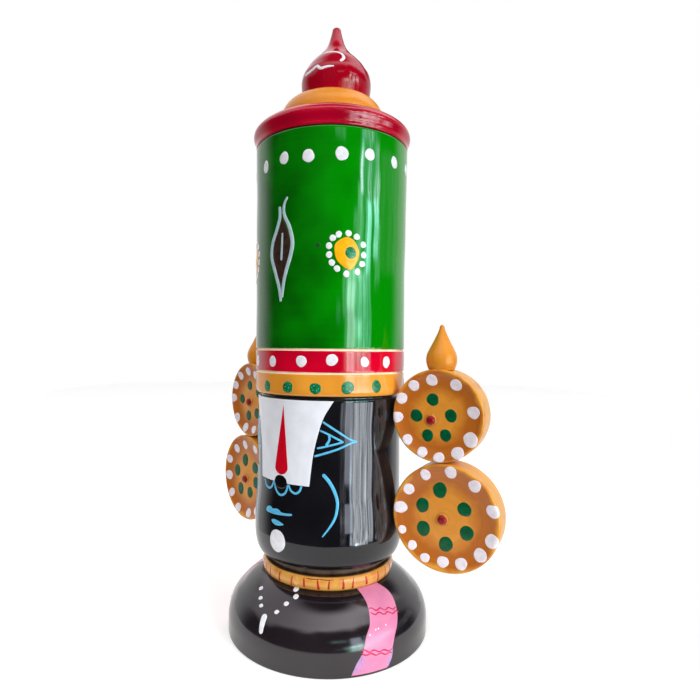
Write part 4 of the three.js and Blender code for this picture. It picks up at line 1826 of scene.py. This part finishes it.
@dataclass
class Studio:
    """The camera, a pale sheet to stand on, and soft light.

    The camera stands close to the figure, so the picture is wide angled. Round the figure the
    light is white, in front of it is dark, and a tall broken bank of strip lights stands on
    its left; the polished lacquer shows all of that.
    """

    azimuth: float = 36.7
    distance: float = 227.4
    height: float = 116.4
    looks_from: float = 36.59
    pitch: float = -0.24
    roll: float = 0.58
    lens: float = 27.28
    shift: Point = (0.0271, 0.0009)
    dark_turns: tuple[float, float, float, float] = (-88, -55, 138, 162)
    wall_top: float = 30.0
    droop: float = 17.0
    ceiling: Point = (54, 68)
    crest: Point = (60, 78)

    def camera(self) -> None:
        """Places the camera where the one that took the photograph stood."""
        data = bpy.data.cameras.new("camera")
        data.lens = self.lens
        data.sensor_width = 36.0
        data.shift_x, data.shift_y = self.shift
        data.clip_start, data.clip_end = 0.01, 50.0
        made = bpy.data.objects.new("camera", data)
        bpy.context.scene.collection.objects.link(made)
        turn, tilt, roll = (math.radians(v) for v in (self.looks_from, -self.pitch, self.roll))
        back = Vector((math.sin(turn) * math.cos(tilt), -math.cos(turn) * math.cos(tilt), math.sin(tilt)))
        right = Vector((math.cos(turn), math.sin(turn), 0.0))
        up = back.cross(right)
        side = right * math.cos(roll) + up * math.sin(roll)
        over = up * math.cos(roll) - right * math.sin(roll)
        place = Matrix((side, over, back)).transposed().to_4x4()
        stand = math.radians(self.azimuth)
        across, ahead = self.distance * math.sin(stand), -self.distance * math.cos(stand)
        place.translation = Vector((across, ahead, self.height)) * MM
        made.matrix_world = place
        bpy.context.scene.camera = made

    def sheet(self) -> None:
        """The pale sheet, a fan round the figure: its reach is near in front, and past an angle
        grows to far as s s (3 - 2 s)."""
        near, far, opens, open_at = 0.14, 1.6, 122.0, 158.0
        away = np.linspace(-180, 180, 144, endpoint=False)
        share = np.clip((np.abs(away) - opens) / (open_at - opens), 0, 1)
        reach = near + (far - near) * share * share * (3 - 2 * share)
        turn = np.radians(self.azimuth + away)
        rings = np.linspace(0, 1, 13)[1:, None]
        out = rings * reach
        spread = np.stack((out * np.sin(turn), -out * np.cos(turn), 0 * out), -1)
        places = np.vstack((spread.reshape(-1, 3), (0, 0, 0)))
        columns = np.arange(len(away))
        fan = np.column_stack((np.full(len(away), len(places) - 1), columns, np.roll(columns, -1)))
        mesh = bpy.data.meshes.new("pale_sheet")
        quads = grid_faces(len(rings), len(away), True)[:, ::-1]
        mesh.from_pydata(places.tolist(), [], quads.tolist() + fan.tolist())
        material, graph = opened("white_paper_matt")
        settings = {
            "Base Color": linear("#F4F3F2"),
            "Roughness": 0.9,
            "Specular IOR Level": 0.1,
            "Emission Color": (1.0, 1.0, 1.0, 1.0),
            "Emission Strength": 0.3,
        }
        paper = node(graph.tree, "ShaderNodeBsdfPrincipled", settings).outputs[0]
        node(graph.tree, "ShaderNodeOutputMaterial", None, {0: paper})
        mesh.materials.append(material)
        made = bpy.data.objects.new("pale_sheet", mesh)
        bpy.context.scene.collection.objects.link(made)

    def lamp(
        self,
        name: str,
        turn: float,
        lift: float,
        away: float,
        size: Point,
        power: float,
        colour: str,
        shows: bool = False,
    ) -> None:
        """A soft lamp that either lights the figure or only shows in its gloss.

        Args:
            name: its name.
            turn: direction that it stands in, in degrees.
            lift: its angle above the figure's middle in degrees.
            away: distance in metres.
            size: width and height in metres.
            power: power in watts.
            colour: its colour.
            shows: True if only the gloss shows it.
        """
        data = bpy.data.lights.new(name, "AREA")
        data.shape = "RECTANGLE"
        data.size, data.size_y = size
        data.energy = power
        data.color = linear(colour)[:3]
        made = bpy.data.objects.new(name, data)
        bpy.context.scene.collection.objects.link(made)
        a, e = math.radians(turn), math.radians(lift)
        towards = Vector((math.sin(a) * math.cos(e), -math.cos(a) * math.cos(e), math.sin(e)))
        made.rotation_mode = "QUATERNION"
        made.rotation_quaternion = towards.to_track_quat("Z", "Y")
        made.location = Vector((0, 0, MIDDLE)) + towards * away
        made.visible_camera = False
        made.visible_glossy = shows
        made.visible_diffuse = not shows

    def surround(self, sky: Sky) -> Socket:
        """White low at the sides and behind, dark in front and above that, white overhead.

        Args:
            sky: the graph of the surroundings.

        Returns:
            The colour by direction.
        """
        turn, rise = sky.turn, sky.rise
        sides = sky.maths(
            "MAXIMUM", sky.between(turn, (-150, -120, -57, 0)), sky.between(turn, (88, 148, 155, 170))
        )
        shaky = sky.maths("MULTIPLY_ADD", sky.noise(sky.way, 2.3, 3.0), 0.5, rise)
        lowered = sky.maths("MULTIPLY_ADD", sides, math.radians(self.droop), shaky)
        soft = 8
        high = sky.between(rise, (self.wall_top - soft, self.wall_top + soft, *ABOVE))
        dark = sky.maths("MAXIMUM", sky.between(turn, self.dark_turns), high)
        dim = sky.maths(
            "MAXIMUM",
            sky.product(dark, sky.between(lowered, (*BELOW, *self.ceiling))),
            sky.product(sky.between(rise, (*self.crest, *ABOVE)), sky.glossy),
        )
        overhead = sky.product(sky.between(lowered, (*self.ceiling, *ABOVE)), sky.glossy)
        slant = sky.maths("MULTIPLY_ADD", sky.between(turn, (-60, 80, 110, 179)), 1.2, 0.7)
        bright = sky.scaled((1.75, 1.63, 1.74), slant)
        plain = sky.blend(overhead, (0.92, 0.92, 0.93, 1.0), bright)
        return sky.blend(dim, plain, (0.03, 0.03, 0.032, 1.0))

    def strips(self, sky: Sky) -> Socket:
        """The strips of light added together, which only the gloss shows.

        Args:
            sky: the graph of the surroundings.

        Returns:
            The colour by direction.
        """
        soft, edge = 1.2, 0.8
        folds = sky.maths("ADD", sky.streaked((30.0, 30.0, 1.6), 0.36, 0.62), 0.35)
        breaks = sky.streaked((26.0, 26.0, 20.0), 0.5, 0.58)
        lights = (0.0, 0.0, 0.0)
        for strip in STRIPS:
            (left, right), (low, top) = strip.turn, strip.rise
            mask = sky.product(
                sky.between(sky.turn, (left - soft, left + soft, right - soft, right + soft)),
                sky.between(sky.rise, (low - edge, low + edge, top - edge, top + edge)),
                folds,
                sky.glossy,
            )
            if strip.broken:
                mask = sky.product(mask, sky.ranged(breaks, 0, 1, 1.0 - strip.broken, 1.0))
            tint = tuple(strip.power * part for part in strip.tint.value)
            terms = {0: mask, 1: tint, 2: lights}
            lights = sky.added("ShaderNodeVectorMath", {"operation": "MULTIPLY_ADD"}, terms).outputs[0]
        return lights

    def surroundings(self) -> None:
        """Lights the figure by the surround and the strips. The camera sees plain white."""
        world = bpy.data.worlds.new("white_surround")
        world.use_nodes = True
        bpy.context.scene.world = world
        world.node_tree.nodes.clear()
        sky = Sky(world.node_tree)
        terms = {0: self.surround(sky), 1: self.strips(sky)}
        seen = sky.added("ShaderNodeVectorMath", {"operation": "ADD"}, terms).outputs[0]
        camera = node(sky.tree, "ShaderNodeLightPath").outputs["Is Camera Ray"]
        colour = sky.blend(camera, seen, (1.0, 1.0, 1.0, 1.0))
        shader = node(sky.tree, "ShaderNodeBackground", {"Strength": 1.0}, {0: colour}).outputs[0]
        node(sky.tree, "ShaderNodeOutputWorld", None, {0: shader})

    def build(self) -> None:
        """Everything that isn't the object."""
        self.camera()
        self.sheet()
        self.surroundings()
        self.lamp("side_light", 84.0, 14.0, 1.5, (0.9, 1.4), 24.0, "#F8FCFF")
        self.lamp("front_fill", 16.0, 30.0, 1.4, (1.2, 1.0), 10.5, "#FFFCFA")
        self.lamp("small_strip", 66.0, -6.0, 0.35, (0.07, 0.19), 0.2, "#E6EEFF", shows=True)
        view = bpy.context.scene.view_settings
        view.view_transform = "Standard"
        view.look = "None"


def main() -> None:
    """Builds the pieces in order, then the studio."""
    logging.basicConfig(level=logging.INFO, format="%(message)s")
    settle(Base().build(), "base")
    settle(NeckRing().build(), "neck_ring")
    settle(Head().build(), "head")
    settle(Crown().build(), "crown")
    settle(Cap().build(), "cap")
    settle(Finial().build(), "finial")
    for ear in EARS:
        for piece, stands_for, slot in ear.build():
            settle(piece, stands_for)
    Studio().build()


if __name__ == "__main__":
    main()
